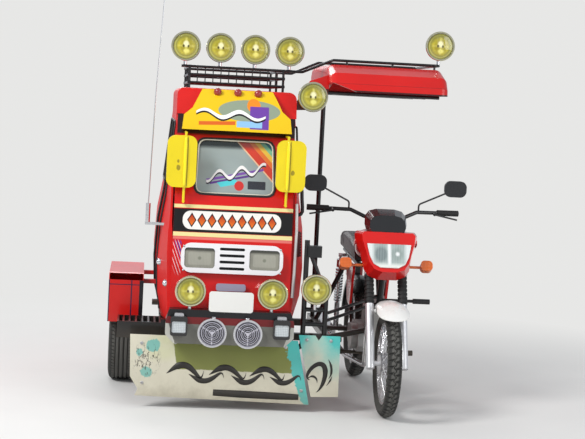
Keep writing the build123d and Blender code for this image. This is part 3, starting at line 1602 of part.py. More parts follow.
def face_y(height):
    """Distance back of the leaning face at a level, below or above its waist."""
    (low_y, low_z), (high_y, high_z) = face_profile[:2] if height < cab_waist else face_profile[1:]
    return low_y + (height - low_z) * (high_y - low_y) / (high_z - low_z)


with BuildPart() as cab_mirrors:
    for side in (-1, 1):
        shell_x = cab_x + side * mirror_pitch
        with BuildSketch(Plane((shell_x, mirror_y + mirror_wall / 2, shell_z), (1, 0, 0), (0, -1, 0))):
            RectangleRounded(*mirror_size, 44)
        extrude(amount=mirror_wall)
        rod_x = cab_x + side * mirror_rod_pitch
        rod(vec(rod_x, mirror_y, mirror_rod_zs[0]), vec(rod_x, mirror_y, mirror_rod_zs[1]), mirror_rod)
        for level in mirror_rod_zs:
            rod(vec(rod_x, mirror_y - mirror_rod, level), vec(rod_x, face_y(level) + 8, level), mirror_rod)
    add(cab_face.part, mode=Mode.SUBTRACT)
    cut_half = mirror_pitch + mirror_size[0]
    with BuildSketch(Plane((cab_x - cut_half, 0, 0), (0, 1, 0), (1, 0, 0))):
        with BuildLine():
            Polyline(
                *[(y + 3, z) for y, z in face_profile],
                (middle_y, cab_eaves),
                (middle_y, cab_base),
                close=True,
            )
        make_face()
    extrude(amount=2 * cut_half, mode=Mode.SUBTRACT)
finish(cab_mirrors, "cab_mirrors")

# Box fender over the cab's wheel, open below
fender_half = 340.0
fender_low = 385.0
fender_high = 664.0
fender_in_x = -803.0
tab_reach = 230.0
tab_zs = (600.0, 624.0)
wall_at_tabs = 390.0
with BuildPart() as side_fender:
    block(
        vec(-half_width, side_axle_y - fender_half, fender_low),
        vec(fender_in_x, side_axle_y + fender_half, fender_high),
    )
    fillet(side_fender.edges().filter_by(Axis.X).group_by(Axis.Z)[-1], 60)
    block(
        vec(-half_width + fender_wall, side_axle_y - fender_half + fender_wall, fender_low),
        vec(fender_in_x - fender_wall, side_axle_y + fender_half - fender_wall, fender_high - fender_wall),
        Mode.SUBTRACT,
    )
    for y in (side_axle_y - tab_reach, side_axle_y + tab_reach):
        block(vec(fender_in_x, y - 15, tab_zs[0]), vec(cab_x - wall_at_tabs + 24, y + 15, tab_zs[1]))
    add(cab_right.part, mode=Mode.SUBTRACT)
    block(
        vec(cab_x - wall_at_tabs, -half_length, tab_zs[0] - 100),
        vec(cab_x, half_length, tab_zs[1] + 76),
        Mode.SUBTRACT,
    )
finish(side_fender, "side_fender")

step_x = -940.0
step_ys = (middle_y - 540.0, middle_y - 290.0)
step_zs = (350.0, 440.0)
with BuildPart() as side_step:
    step_in_x = right_rail_x - rail_size / 2 - seat_gap
    block(vec(step_x, step_ys[0], step_zs[0]), vec(step_in_x, step_ys[1], step_zs[1]))
    block(
        vec(step_x + 10, step_ys[0] + 10, step_zs[0]), vec(step_in_x - 10, step_ys[1] - 10, step_zs[1]),
        Mode.SUBTRACT,
    )
    bar_count = 7
    for bar in range(1, bar_count):
        x = step_x + (step_in_x - step_x) * bar / bar_count
        block(vec(x - 5, step_ys[0] + 2, step_zs[1] - 12), vec(x + 5, step_ys[1] - 2, step_zs[1]))
finish(side_step, "side_step")

# Whip antenna on a bracket beside the door
antenna_x = -798.0
antenna_y = middle_y - 480.0
bracket_half = 14.0
bracket_z = 972.0
wall_at_bracket = 368.0
# lean in from the foot, height, radius of the length above
mast_rows = ((0, 986, 13), (0, 1090, 3), (14, 1690, 2.5), (40, 2260, 0))
with BuildPart() as antenna:
    block(
        vec(antenna_x - bracket_half, antenna_y - bracket_half, bracket_z),
        vec(cab_x - wall_at_bracket + 12, antenna_y + bracket_half, mast_rows[0][1]),
    )
    mast = [vec(antenna_x + lean, antenna_y, height) for lean, height, _ in mast_rows]
    for start, end, (_, _, radius) in zip(mast, mast[1:], mast_rows):
        rod(start, end, radius)
    with Locations(mast[2]):
        Sphere(mast_rows[1][2])
    add(cab_right.part, mode=Mode.SUBTRACT)
    block(
        vec(cab_x - wall_at_bracket, antenna_y - 100, bracket_z - 50),
        vec(cab_x, antenna_y + 100, bracket_z + 50),
        Mode.SUBTRACT,
    )
finish(antenna, "antenna")
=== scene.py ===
"""Looks of a motor tricycle: a small motorcycle with a covered passenger cab on a third wheel."""

import math

import bmesh
import bpy
import numpy as np
from mathutils import Matrix, Vector


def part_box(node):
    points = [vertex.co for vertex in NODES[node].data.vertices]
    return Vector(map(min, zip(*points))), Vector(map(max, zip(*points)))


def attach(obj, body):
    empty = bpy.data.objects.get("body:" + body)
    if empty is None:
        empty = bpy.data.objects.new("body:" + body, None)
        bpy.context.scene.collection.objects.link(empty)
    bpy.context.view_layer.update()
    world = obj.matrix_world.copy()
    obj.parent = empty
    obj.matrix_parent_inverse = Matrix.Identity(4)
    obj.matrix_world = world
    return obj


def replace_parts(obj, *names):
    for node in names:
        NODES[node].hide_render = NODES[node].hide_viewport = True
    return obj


bl_info = {
    "name": "Motor tricycle looks",
    "version": (1, 0, 0),
    "blender": (4, 5, 0),
    "location": "View3D > Sidebar > Tricycle",
    "description": "Finishes, tyres, seats, seals, lamps and stage of a motor tricycle",
    "category": "Object",
}

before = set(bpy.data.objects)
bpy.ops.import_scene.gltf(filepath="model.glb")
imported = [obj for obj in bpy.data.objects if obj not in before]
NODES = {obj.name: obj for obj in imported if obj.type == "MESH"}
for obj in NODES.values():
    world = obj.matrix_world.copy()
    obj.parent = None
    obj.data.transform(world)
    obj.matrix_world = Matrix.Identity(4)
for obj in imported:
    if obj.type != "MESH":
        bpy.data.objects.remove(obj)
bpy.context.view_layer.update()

X, Y, Z = 0, 1, 2
VEHICLE = "vehicle"
FRONT_WHEEL = "front_wheel_set"
REAR_WHEEL = "rear_wheel_set"
SIDE_WHEEL = "side_wheel_set"

# Places and sizes that several pieces share, in metres. An axle is (y, height).
CAB_X = -0.334
BIKE_X = 0.535
FACE_FOOT_Y, FACE_FOOT_Z = -0.690, 0.460
FACE_LEAN = 90.0 / 690.0
FACE_COSINE = 0.9916
FACE_EDGE = 0.324
BEZEL_SKIN = 0.0338
MIRROR_X = 0.278
HORN_X, HORN_Z = 0.096, 0.433
CAB_LAMP_X = 0.176
FOG_CAP_Z = 0.5185
LAMP_FLAT = 0.15
BOARD_Y, FLAP_Y = -0.7119, -0.7033
WINDOW_LOW, WINDOW_HIGH = 1.182, 1.545
FRONT_AXLE = (-0.740, 0.290)
REAR_AXLE = (0.540, 0.296)
SIDE_AXLE = (0.150, 0.276)
SIDE_WHEEL_X = -0.912
TYRE_SKIN = 0.0001
CLOTH_PRESSURE = 4.0
# The camera: the photograph's width and the focal length in its pixels, and the sensor in mm.
PHOTO_WIDTH, FOCAL_PIXELS, SENSOR_WIDTH = 585.0, 1574.0, 36.0


# Colours


def linear(code):
    """A colour written as six hex digits, turned to linear light."""
    parts = [int(code[i:i + 2], 16) / 255 for i in (0, 2, 4)]
    return tuple([((v + 0.055) / 1.055) ** 2.4 if v > 0.04045 else v / 12.92 for v in parts] + [1.0])


class PaintColours(bpy.types.PropertyGroup):
    """The vehicle's paint and trim colours."""

    body_red: bpy.props.FloatVectorProperty(
        name="Body red", description="Gloss red of the cab and canopy", subtype="COLOR",
        size=4, min=0, max=1, default=linear("e3120c"))
    brow_yellow: bpy.props.FloatVectorProperty(
        name="Brow yellow", description="Yellow of the brow over the windshield", subtype="COLOR",
        size=4, min=0, max=1, default=linear("f2c80c"))
    mirror_yellow: bpy.props.FloatVectorProperty(
        name="Mirror yellow", description="Yellow of the cab's mirror backs", subtype="COLOR",
        size=4, min=0, max=1, default=linear("f5dc10"))
    stripe_cream: bpy.props.FloatVectorProperty(
        name="Stripe cream", description="Cream stripes across the face", subtype="COLOR",
        size=4, min=0, max=1, default=linear("e9dc9a"))
    lens_yellow: bpy.props.FloatVectorProperty(
        name="Lens yellow", description="Yellow glass of the round lamps", subtype="COLOR",
        size=4, min=0, max=1, default=linear("e2d334"))
    board_turquoise: bpy.props.FloatVectorProperty(
        name="Board turquoise", description="Turquoise of the front board and flap", subtype="COLOR",
        size=4, min=0, max=1, default=linear("4fc4bd"))


class TreadSizes(bpy.types.PropertyGroup):
    """Sizes of the tyres' tread."""

    cycle_depth: bpy.props.FloatProperty(
        name="Cycle tread depth", description="Depth of the motorcycle tyres' slots",
        default=0.0075, min=0.0, max=0.01, unit="LENGTH")
    cycle_pitch: bpy.props.FloatProperty(
        name="Cycle tread pitch", description="Distance from slot to slot round the tyre",
        default=0.036, min=0.01, max=0.06, unit="LENGTH")
    side_depth: bpy.props.FloatProperty(
        name="Side tread depth", description="Depth of the side tyre's grooves",
        default=0.006, min=0.0, max=0.01, unit="LENGTH")


def tone(colour):
    """A colour given by its name in the sidebar, by six hex digits, or as it is."""
    if not isinstance(colour, str):
        return colour
    if colour in PaintColours.__annotations__:
        return tuple(getattr(bpy.context.scene.tricycle_paint, colour))
    return linear(colour)


def toned(colour, factor, lift=0.0):
    """The colour times a factor with some light added, up to white."""
    return tuple(min(1.0, v * factor + lift) for v in tone(colour)[:3]) + (1.0,)


# Shader maths


class Wire:
    """One output of a shader node, read as a number, so that masks are written as sums."""

    def __init__(self, finish, socket):
        self.finish = finish
        self.socket = socket

    def math(self, operation, other=0.0, clamp=False):
        node = self.finish.tree.nodes.new("ShaderNodeMath")
        node.operation = operation
        node.use_clamp = clamp
        self.finish.feed(node.inputs[0], self)
        self.finish.feed(node.inputs[1], other)
        return Wire(self.finish, node.outputs[0])

    def __add__(self, other):
        return self.math("ADD", other)

    __radd__ = __add__

    def __sub__(self, other):
        return self.math("SUBTRACT", other)

    def __rsub__(self, other):
        return self.math("MULTIPLY", -1.0).math("ADD", other)

    def __mul__(self, other):
        return self.math("MULTIPLY", other)

    __rmul__ = __mul__

    def __abs__(self):
        return self.math("ABSOLUTE")

    def __pow__(self, other):
        return self.math("POWER", other)

    def least(self, other):
        return self.math("MINIMUM", other)

    def most(self, other):
        return self.math("MAXIMUM", other)

    def sine(self):
        return self.math("SINE")

    def root(self):
        return self.math("SQRT")

    def part(self):
        return self.math("FRACT")

    def past(self, edge, soft=0.0012):
        """1 where the value is over the edge and 0 under it."""
        return ((self - edge) * (1 / soft)).math("ADD", 0.5, clamp=True)

    def short_of(self, edge, soft=0.0012):
        """1 where the value is under the edge."""
        return 1 - self.past(edge, soft)

    def within(self, low, high, soft=0.0012):
        """1 between two edges."""
        return self.past(low, soft) * self.short_of(high, soft)

    def clipped(self):
        """The value held between 0 and 1."""
        return self.math("ADD", 0.0, clamp=True)

    def waves(self, pitch):
        """A sine of the value with one wave to each pitch."""
        return (self * (2 * math.pi / pitch)).sine()


def reach(u, v):
    """Distance of a point from where both of its coordinates are 0."""
    return (u ** 2.0 + v ** 2.0).root()


def ahead_of_face(y, z):
    """How far a point stands out from the plane of the cab's leaning face."""
    return (y - FACE_FOOT_Y - (z - FACE_FOOT_Z) * FACE_LEAN) * -FACE_COSINE


class Wiring:
    """A shader's tree, to which nodes are added."""

    def __init__(self, tree):
        self.tree = tree

    def feed(self, socket, value):
        if isinstance(value, Wire):
            self.tree.links.new(value.socket, socket)
        else:
            socket.default_value = value

    def node(self, kind, settings=(), inputs=(), out=0):
        """A node of any type: its settings first, then the values or links of its sockets."""
        made = self.tree.nodes.new(kind)
        for word, value in settings:
            setattr(made, word, value)
        for key, value in inputs:
            self.feed(made.inputs[key], value)
        return made if out is None else Wire(self, made.outputs[out])


class Finish(Wiring):
    """A procedural material round one principled shader."""

    def __init__(self, name, **constants):
        self.material = bpy.data.materials.new(name)
        self.material.use_nodes = True
        super().__init__(self.material.node_tree)
        self.shader = self.tree.nodes["Principled BSDF"]
        for word, value in constants.items():
            self.shader.inputs[word.replace("_", " ")].default_value = value

    def place(self, out="Object"):
        """Object coordinates as x, y and z, or with "UV" the piece's own flat coordinates."""
        where = self.node("ShaderNodeTexCoord", out=out)
        split = self.node("ShaderNodeSeparateXYZ", inputs=[(0, where)], out=None)
        return [Wire(self, socket) for socket in split.outputs]

    def noise(self, scale, detail=3.0, rough=0.55, stretch=(1.0, 1.0, 1.0), bend=0.0):
        where = self.node("ShaderNodeTexCoord", out="Object")
        spread = self.node("ShaderNodeVectorMath", [("operation", "MULTIPLY")], [(0, where), (1, stretch)])
        words = ("Vector", "Scale", "Detail", "Roughness", "Distortion")
        return self.node("ShaderNodeTexNoise", [], zip(words, (spread, scale, detail, rough, bend)))

    def mix(self, mask, first, second):
        """A colour that goes from the first to the second as the mask goes from 0 to 1."""
        return self.node(
            "ShaderNodeMix", [("data_type", "RGBA")], [(0, mask), (6, tone(first)), (7, tone(second))], out=2)

    def layers(self, base, *coats):
        """Coats of (mask, colour) laid on a base one after the other."""
        for mask, colour in coats:
            base = self.mix(mask, base, colour)
        return base

    def set(self, colour=None, roughness=None, metallic=None, coat=None, relief=None):
        """The shader's colour and numbers, and a relief of (height, distance, strength)."""
        for word, value in (
            ("Base Color", colour), ("Roughness", roughness), ("Metallic", metallic), ("Coat Weight", coat),
        ):
            if value is not None:
                self.feed(self.shader.inputs[word], value)
        if relief is not None:
            bump = self.node("ShaderNodeBump", [], zip(("Height", "Distance", "Strength"), relief))
            self.feed(self.shader.inputs["Normal"], bump)
        return self

    def block(self, u, v, middle, half, rounding=0.0, soft=0.0015):
        """1 inside a rounded rectangle on two coordinates: its signed distance is taken and cut at 0."""
        across = abs(u - middle[0]) - (half[0] - rounding)
        along = abs(v - middle[1]) - (half[1] - rounding)
        outside = reach(across.most(0.0), along.most(0.0))
        inside = across.most(along).least(0.0)
        return (outside + inside - rounding).short_of(0.0, soft)

    def disc(self, u, v, middle, radius, squash=1.0, soft=0.0015):
        """1 inside an ellipse."""
        return reach(u - middle[0], (v - middle[1]) * squash).short_of(radius, soft)

    def blots(self, u, v, ragged, table, squash, soft):
        """1 inside any of several (middle, radius) discs, whose edges the ragged value moves."""
        total = 0.0
        for middle, radius in table:
            total = (reach(u - middle[0], (v - middle[1]) * squash) + ragged).short_of(radius, soft) + total
        return total.least(1.0)


def dusted(finish, colour, strength=0.5, height=0.45):
    """Road dust: it thickens towards the ground and lies in blotches."""
    z = finish.place()[Z]
    blotch = finish.noise(7.0, 4.0, 0.6)
    low = ((height - z) * (1 / height)).clipped()
    mask = (low * (blotch * 1.6) * strength).clipped()
    return finish.mix(mask, colour, "8b7c68"), mask


# Finishes


def gloss_paint(name, colour, dark=0.12, coat=0.3, rough=0.3, decorate=None, dust=0.5):
    """Sprayed enamel: slight mottling, orange peel, fine scratches and dust low down."""
    finish = Finish(name, Coat_Roughness=0.09, Specular_IOR_Level=0.35)
    mottle = finish.noise(3.2, 4.0)
    shade = finish.mix((mottle - 0.35) * 1.6, toned(colour, 1 - dark * 2), colour)
    if decorate:
        shade = decorate(finish, shade, finish.place())
    shade, mask = dusted(finish, shade, dust)
    peel = finish.noise(420.0, 1.0)
    wear = finish.noise(26.0, 5.0, 0.65)
    ripple = finish.noise(5.0, 2.0)
    roughness = rough + wear * 0.12 + mask * 0.5
    return finish.set(shade, roughness, coat=(1 - mask) * coat, relief=(peel * 0.04 + ripple, 0.0018, 0.3))


def bare_metal(name, colour, rough=0.2, metallic=1.0, stain=0.25, grain=90.0):
    """Plated, cast or brushed metal with dull patches and grime."""
    finish = Finish(name)
    grime = finish.noise(11.0, 5.0, 0.65)
    lines = finish.noise(grain, 2.0, 0.5)
    mask = ((grime - 0.52) * 3.0 * stain).clipped()
    shade, dust = dusted(finish, finish.mix(mask, colour, "4a4036"), 0.35)
    return finish.set(shade, rough + lines * 0.16 + mask * 0.35 + dust * 0.3,
                      metallic * (1 - dust * 0.8), relief=(lines, 0.0006, 0.3))


def moulded(name, colour, rough=0.4, grain=650.0, relief=0.0004, dust=0.45, coat=0.0, fade=0.12):
    """Moulded plastic or rubber: fine grain, faded patches and dust."""
    finish = Finish(name, Coat_Roughness=0.1)
    mottle = finish.noise(8.0, 4.0)
    shade, mask = dusted(finish, finish.mix(mottle, colour, toned(colour, 1 + fade * 2, fade * 0.02)), dust)
    fine = finish.noise(grain, 2.0)
    return finish.set(shade, rough + mottle * 0.12 + mask * 0.3, coat=(1 - mask) * coat,
                      relief=(fine, relief, 0.4))


def face_paint(finish, shade, axes):
    """Stripes across the face: cream lines round a black band that carries a white panel of lozenges,
    and a painted shadow of the brow above the windshield. The inside stays plain."""
    x, y, z = axes
    outer = ahead_of_face(y, z).past(-0.006)
    plain = shade
    band = z.within(0.954, 1.079)
    cream = z.within(1.083, 1.102) + z.within(0.930, 0.952)
    blush = z.within(0.914, 0.928, 0.004)
    middle = (CAB_X - 0.007, 1.0185)
    panel = finish.block(x, z, middle, (0.268, 0.050), 0.044)
    step = ((x - middle[0]) * (1 / 0.0547) + 0.5).part() - 0.5
    tall = abs(z - middle[1]) * (1 / 0.040)
    wide = abs(x - middle[0]).short_of(0.246)
    lozenge = (abs(step) * 2.15 + tall)
    outline = lozenge.short_of(1.0, 0.06) * wide
    filling = lozenge.short_of(0.74, 0.05) * wide
    glow = ((z - 0.985) * (1 / 0.066)).clipped()
    ember = finish.mix(glow, "ef7a1c", "a51713")
    side = CAB_X - x
    sweep = (side - 0.262) * -2.6 + (z - 0.735)
    pins = z.within(0.725, 0.905, 0.02) * side.within(0.276, 0.322, 0.004)
    # Painted shadow of the brow: the face is darkened above the windshield's top.
    shade = finish.mix(z.past(1.480, 0.014), shade, "24090c")
    beat = sweep * (1 / 0.042)
    white_pin = beat.part().short_of(0.16, 0.1) * sweep.within(-0.12, 0.10, 0.01) * pins
    violet_pin = (beat + 0.5).part().short_of(0.45, 0.1) * sweep.within(0.03, 0.13, 0.01) * pins
    painted = finish.layers(
        shade, (blush, "e0726a"), (cream, "stripe_cream"), (band, "0c0a0b"),
        (panel, "efece6"), (outline, "1b0f10"), (filling, ember),
        (violet_pin, "5b2a86"), (white_pin, "f1dfe4"))
    return finish.mix(outer.most(z.past(1.16)), plain, painted)


def brow_paint(finish, shade, axes):
    """A sticker of plain shapes: a grey-green oval, a violet block, an orange disc, bars and a wave."""
    x, _, z = axes
    oval = finish.disc(x, z, (-0.270, 1.622), 0.170, 2.9)
    disc = finish.disc(x, z, (-0.246, 1.652), 0.037)
    violet = finish.block(x, z, (-0.214, 1.585), (0.052, 0.062), 0.003)
    sky = finish.block(x, z, (-0.268, 1.548), (0.070, 0.017), 0.003)
    slant = z - 1.548 - (x + 0.45) * 0.04
    bar = abs(slant).short_of(0.010) * x.within(-0.545, -0.345, 0.002)
    wave_line = z - 1.598 - ((x + 0.37) * 33.0).sine() * 0.018 + (x + 0.37) * 0.03
    taper = 0.012 - abs(x + 0.37) * 0.030
    span = x.within(-0.560, -0.180, 0.004)
    shadow = (abs(wave_line + 0.005) - taper - 0.005).short_of(0.0) * span
    wave = (abs(wave_line) - taper).short_of(0.0) * span
    return finish.layers(
        shade, (oval, "8f9c86"), (disc, "ee8a1e"), (violet, "6d3fa0"),
        (sky, "8fbfe4"), (bar, "d8641a"), (shadow, "17131a"), (wave, "f6f4f0"))


def shield_film(name):
    """The windshield: grey-green reflecting film with a rainbow corner, slanted stripes and a disc, and a
    painted shadow of the brow across its top.
    """
    finish = Finish(name, Coat_Weight=1.0, Coat_Roughness=0.02, IOR=1.5, Alpha=0.93)
    x, _, z = finish.place()
    cloud = finish.noise(2.6, 3.0, 0.5, (1.0, 1.0, 2.2))
    # top marks the brow's painted shadow over the upper part of the glass
    top = z.past(1.416, 0.022)
    shade = finish.layers(finish.mix(cloud, "84918f", "aab6b4"), (top, "17241f"))
    far = (x + 0.357) * 0.727 + (z - 1.480) * 0.686
    edges = (0.0, 0.007, 0.048, 0.070, 0.092, 0.112, 0.200)
    colours = ("f3c79a", "d83a1c", "ef7a22", "f2c73c", "7fc79a", "16808c")
    bands = zip(edges[:-1], edges[1:], colours)
    coats = [(far.within(start, end, 0.002), colour) for start, end, colour in bands]
    line = z - 1.236 - (x + 0.491) * 0.218
    wave = z - 1.283 - (x + 0.33) * 0.19 - ((x + 0.33) * 52.0).sine() * 0.024
    taper = 0.010 - abs(x + 0.33) * 0.020
    span = x.within(-0.490, -0.165, 0.004)
    ends = ((x + 0.40) + (z - 1.19) * 0.9).within(0.0, 0.12, 0.003)
    coats += [
        (abs(line).short_of(0.007) * x.within(-0.492, -0.178, 0.003), "7a4aa6"),
        (abs(line + 0.020).short_of(0.006) * x.within(-0.470, -0.240, 0.003), "5b3288"),
        (line.within(-0.052, -0.024, 0.002) * ends, "4fd0d6"),
        ((abs(wave + 0.005) - taper - 0.004).short_of(0.0) * span, "2b2430"),
        ((abs(wave) - taper).short_of(0.0) * span, "f4f2f1"),
        (finish.disc(x, z, (-0.310, 1.212), 0.026), "cf2a22"),
        (finish.block(x, z, (-0.214, 1.218), (0.049, 0.022), 0.004), "2a2c34"),
        # the brow's painted shadow, laid again over every coat
        (top * 0.62, "101c1c"),
    ]
    smear = finish.noise(14.0, 4.0)
    return finish.set(finish.layers(shade, *coats), 0.10 + smear * 0.10)


def canopy_paint(finish, shade, axes):
    """The canopy's rolled lower edge is darkened as painted shade, and a fine line of painted shade marks its
    crease.
    """
    _, y, z = axes
    # Painted shade: dark under the rolled lower edge and along the crease
    edge = z.short_of(1.7655, 0.003)
    crease = z.within(1.7985, 1.8015, 0.0015) * y.short_of(-0.50, 0.01)
    return finish.layers(shade, (edge, "3a0d0d"), (crease * 0.6, "7a1212"))


def bezel_paint(finish, shade, axes):
    """Black inside the lamp pockets, the surround's own colour, and black in the slots of the white bezel,
    painted shade of their depth.
    """
    x, y, z = axes
    low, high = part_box("grille")
    middle = (low[Z] + high[Z]) / 2
    hole = finish.block(abs(x - CAB_X), z, (CAB_LAMP_X, middle), (0.0845, 0.0565), 0.018)
    for index in range(4):
        slot = middle + (index - 1.5) * 0.0347
        hole = hole.most(finish.block(x, z, (CAB_X, slot), (0.0705, 0.0092), 0.006))
    # The same black is the lamp surround's colour and painted shade down in the slots
    return finish.mix(hole * ahead_of_face(y, z).short_of(0.0325, 0.001), shade, "0d0c0f")


def plate_paint(finish, shade, axes):
    """The lamp bar over the blank plate is lilac-grey."""
    return finish.mix(axes[Y].past(-0.760), shade, "9b97ab")


def bumper_paint(finish, shade, axes):
    """Three bands: black above, dark red, and grey steel below, whose slanted ends carry painted highlights.
    """
    x, _, z = axes
    side = abs(x - CAB_X)
    red = z.short_of(0.512)
    steel = z.short_of(0.474)
    # pale marks painted highlights on the steel's slanted ends
    pale = steel * (side - (z - 0.367) * 0.35).past(0.292, 0.002)
    return finish.layers(shade, (red, "6f0f14"), (steel, "6f6f68"), (pale, "c9c8bf"))


def board_paint(finish, shade, axes):
    """The painted front board: cream with blotches, olive above, turquoise at the left end, mud below."""
    x, _, z = axes
    ragged = finish.noise(9.0, 5.0, 0.7)
    fine = finish.noise(38.0, 5.0, 0.7)
    push = (ragged - 0.5) * 0.10 + (fine - 0.5) * 0.03
    olive = (x + (z - 0.2) * 0.2 + push * 0.2).within(-0.600, 0.03, 0.004)
    olive = olive * (z + push * 0.25).past(0.215, 0.004)
    turquoise = (x + (z - 0.20) * 0.36 + push).past(0.030, 0.004)
    patch = finish.noise(11.0, 5.0, 0.7, bend=0.8)
    spots = finish.blots(
        x, z, (patch - 0.5) * 0.060,
        (((-0.738, 0.338), 0.034), ((-0.768, 0.196), 0.030), ((-0.812, 0.300), 0.018)), 1.0, 0.004)
    scuff = finish.noise(13.0, 5.0, 0.7, (1.0, 1.0, 0.5))
    near = finish.disc(x, z, (-0.772, 0.262), 0.070, 0.8, 0.03)
    scribble = abs(scuff - 0.5).short_of(0.012, 0.010) * near
    stain = finish.disc(x, z, (-0.690, 0.330), 0.085, 1.2, 0.05) * patch
    mud = ((0.13 - z) * 8.0 + (ragged - 0.5) * 1.8).clipped()
    grime = ((fine - 0.56) * 3.0).clipped()
    return finish.layers(
        shade, (grime * 0.35, "a49c86"), (stain * 0.6, "c3cc84"), (spots, "7fbdb2"), (olive, "7d8440"),
        (turquoise, "board_turquoise"), (scribble, "2f2e2c"), (mud * 0.55, "77705f"))


def flap_paint(finish, shade, axes):
    """The hanging flap fades from turquoise at its top and sides to cream."""
    x, _, z = axes
    ragged = finish.noise(8.0, 4.0, 0.6)
    fade = ((z - 0.26) * 4.5 + abs(x - 0.15) * 3.0 + (ragged - 0.5) * 1.2).clipped()
    return finish.mix(fade, shade, "board_turquoise")


def board_and_flap(finish, shade, axes):
    """Board ahead of a plane and flap behind it, each in its own paint."""
    flap = axes[Y].past(-0.7034, 0.0002)
    return finish.mix(flap, board_paint(finish, shade, axes), flap_paint(finish, shade, axes))


def fender_paint(finish, shade, axes):
    """Dark blue lines along the side fender's edges, and a black band along its inner side."""
    x, y, z = axes
    front = y.short_of(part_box("side_fender")[0][Y] + 0.004)
    lines = z.within(0.648, 0.655) + z.within(0.597, 0.602) + (x + 0.870).within(-0.0035, 0.0035)
    lines = (lines * front + x.short_of(-0.994) * front).least(1.0)
    return finish.layers(shade, (lines, "1d1540"), (x.past(-0.826) * front, "141019"))


def mirror_paint(finish, shade, axes):
    """A painted shadow line beside each mirror's rib, and three brown smudges."""
    x, _, z = axes
    # left and right mark the ribs' painted shadow lines
    left, right = ((x - CAB_X + away - 0.0125).within(-0.0028, 0.0028) for away in (MIRROR_X, -MIRROR_X))
    smudges = finish.blots(
        x, z, (finish.noise(45.0, 2.0, 0.5) - 0.5) * 0.010,
        (((-0.646, 1.300), 0.011), ((-0.649, 1.336), 0.005), ((-0.028, 1.300), 0.010)), 0.7, 0.003)
    lines = (left + right).least(1.0) * z.within(1.20, 1.47, 0.01)
    return finish.layers(shade, (lines * 0.75, "6f5d06"), (smudges * 0.75, "75651a"))


def tyre_rubber(name, axle):
    """Tyre rubber: grey road dust on the blocks and sides, black down in the slots."""
    finish = Finish(name)
    _, along, high = finish.place()
    far, radius = reach(along - axle[0], high - axle[1]), axle[1]
    dirt = finish.noise(18.0, 5.0, 0.65)
    fine = finish.noise(260.0, 3.0)
    crown = far.past(radius - 0.0042, 0.002)
    slot = far.within(radius - 0.020, radius - 0.0050, 0.002)
    shade = finish.mix(dirt, "242425", "55534d")
    shade = finish.layers(shade, (crown * 0.75, "5e5d59"), (slot * 0.55, "111112"))
    return finish.set(shade, 0.72 + dirt * 0.2, relief=(fine, 0.0008, 0.4))


def seat_vinyl(name, colour):
    """Seat cover: leather-cloth grain with worn, shinier patches."""
    finish = Finish(name, Sheen_Weight=0.15)
    where = finish.node("ShaderNodeTexCoord", out="Object")
    grain = finish.node(
        "ShaderNodeTexVoronoi", [("feature", "DISTANCE_TO_EDGE")], [("Vector", where), ("Scale", 520.0)])
    worn = finish.noise(6.0, 4.0)
    return finish.set(
        finish.mix(worn, colour, toned(colour, 1.8, 0.01)), 0.42 + worn * 0.2, relief=(grain, 0.0007, 0.5))


def coloured_glass(name, colour):
    """Plain coloured lamp glass with faint smears."""
    finish = Finish(name, Transmission_Weight=1.0, IOR=1.45, Coat_Weight=0.6, Coat_Roughness=0.03)
    smear = finish.noise(20.0, 3.0)
    shade = finish.mix(smear * 0.3, colour, toned(colour, 0.8))
    return finish.set(shade, 0.04 + smear * 0.05, relief=(smear, 0.0004, 0.2))


def lamp_glass(name):
    """Yellow lamp glass with its lit reflector painted in behind upright flutes: olive painted shade towards
    the rim and over the top, a painted highlight ring near the edge, painted highlights that cross a darker
    middle dish and two painted highlight spots, with the bulb's two dark dots.
    """
    finish = Finish(name, Coat_Weight=1.0, Coat_Roughness=0.03)
    u, v = ((axis - 0.5) * LAMP_FLAT for axis in finish.place("UV")[:2])
    far = reach(u, v)
    flutes = u.waves(0.0075) * 0.5 + 0.5
    cloud = finish.noise(34.0, 3.0)
    shade = finish.layers(
        finish.mix(cloud, "9a9420", "lens_yellow"),
        # painted shade towards the rim
        (far.past(0.050, 0.016) * 0.8, "7d7c38"),
        # painted highlight ring near the edge
        (far.within(0.0585, 0.0655, 0.005) * 0.7, "c9c66a"),
        # painted shade over the top
        (v.past(0.028, 0.03) * 0.5, "6c6a1a"),
        (finish.disc(u, v, (0.0, 0.0), 0.036, 1.0, 0.012) * 0.6, "978a10"),
        # painted highlights crossing the middle
        (abs(u).short_of(0.006, 0.008) * far.short_of(0.046, 0.012) * 0.55, "efe87a"),
        (abs(v).short_of(0.005, 0.008) * far.short_of(0.046, 0.012) * 0.35, "efe87a"),
        # painted highlight spots
        (finish.disc(u, v, (0.003, -0.028), 0.016, 1.4, 0.012), "f6f07a"),
        (finish.disc(u, v, (0.0, 0.011), 0.015, 0.9, 0.010), "fdf9c4"),
        (finish.disc(u, v, (-0.014, 0.0), 0.0060, 0.8, 0.004), "4c4708"),
        (finish.disc(u, v, (0.013, -0.001), 0.0055, 0.8, 0.004), "4c4708"),
        (flutes * 0.18, "6e6710"))
    return finish.set(shade, 0.08 + cloud * 0.06, relief=(flutes, 0.0010, 0.5))


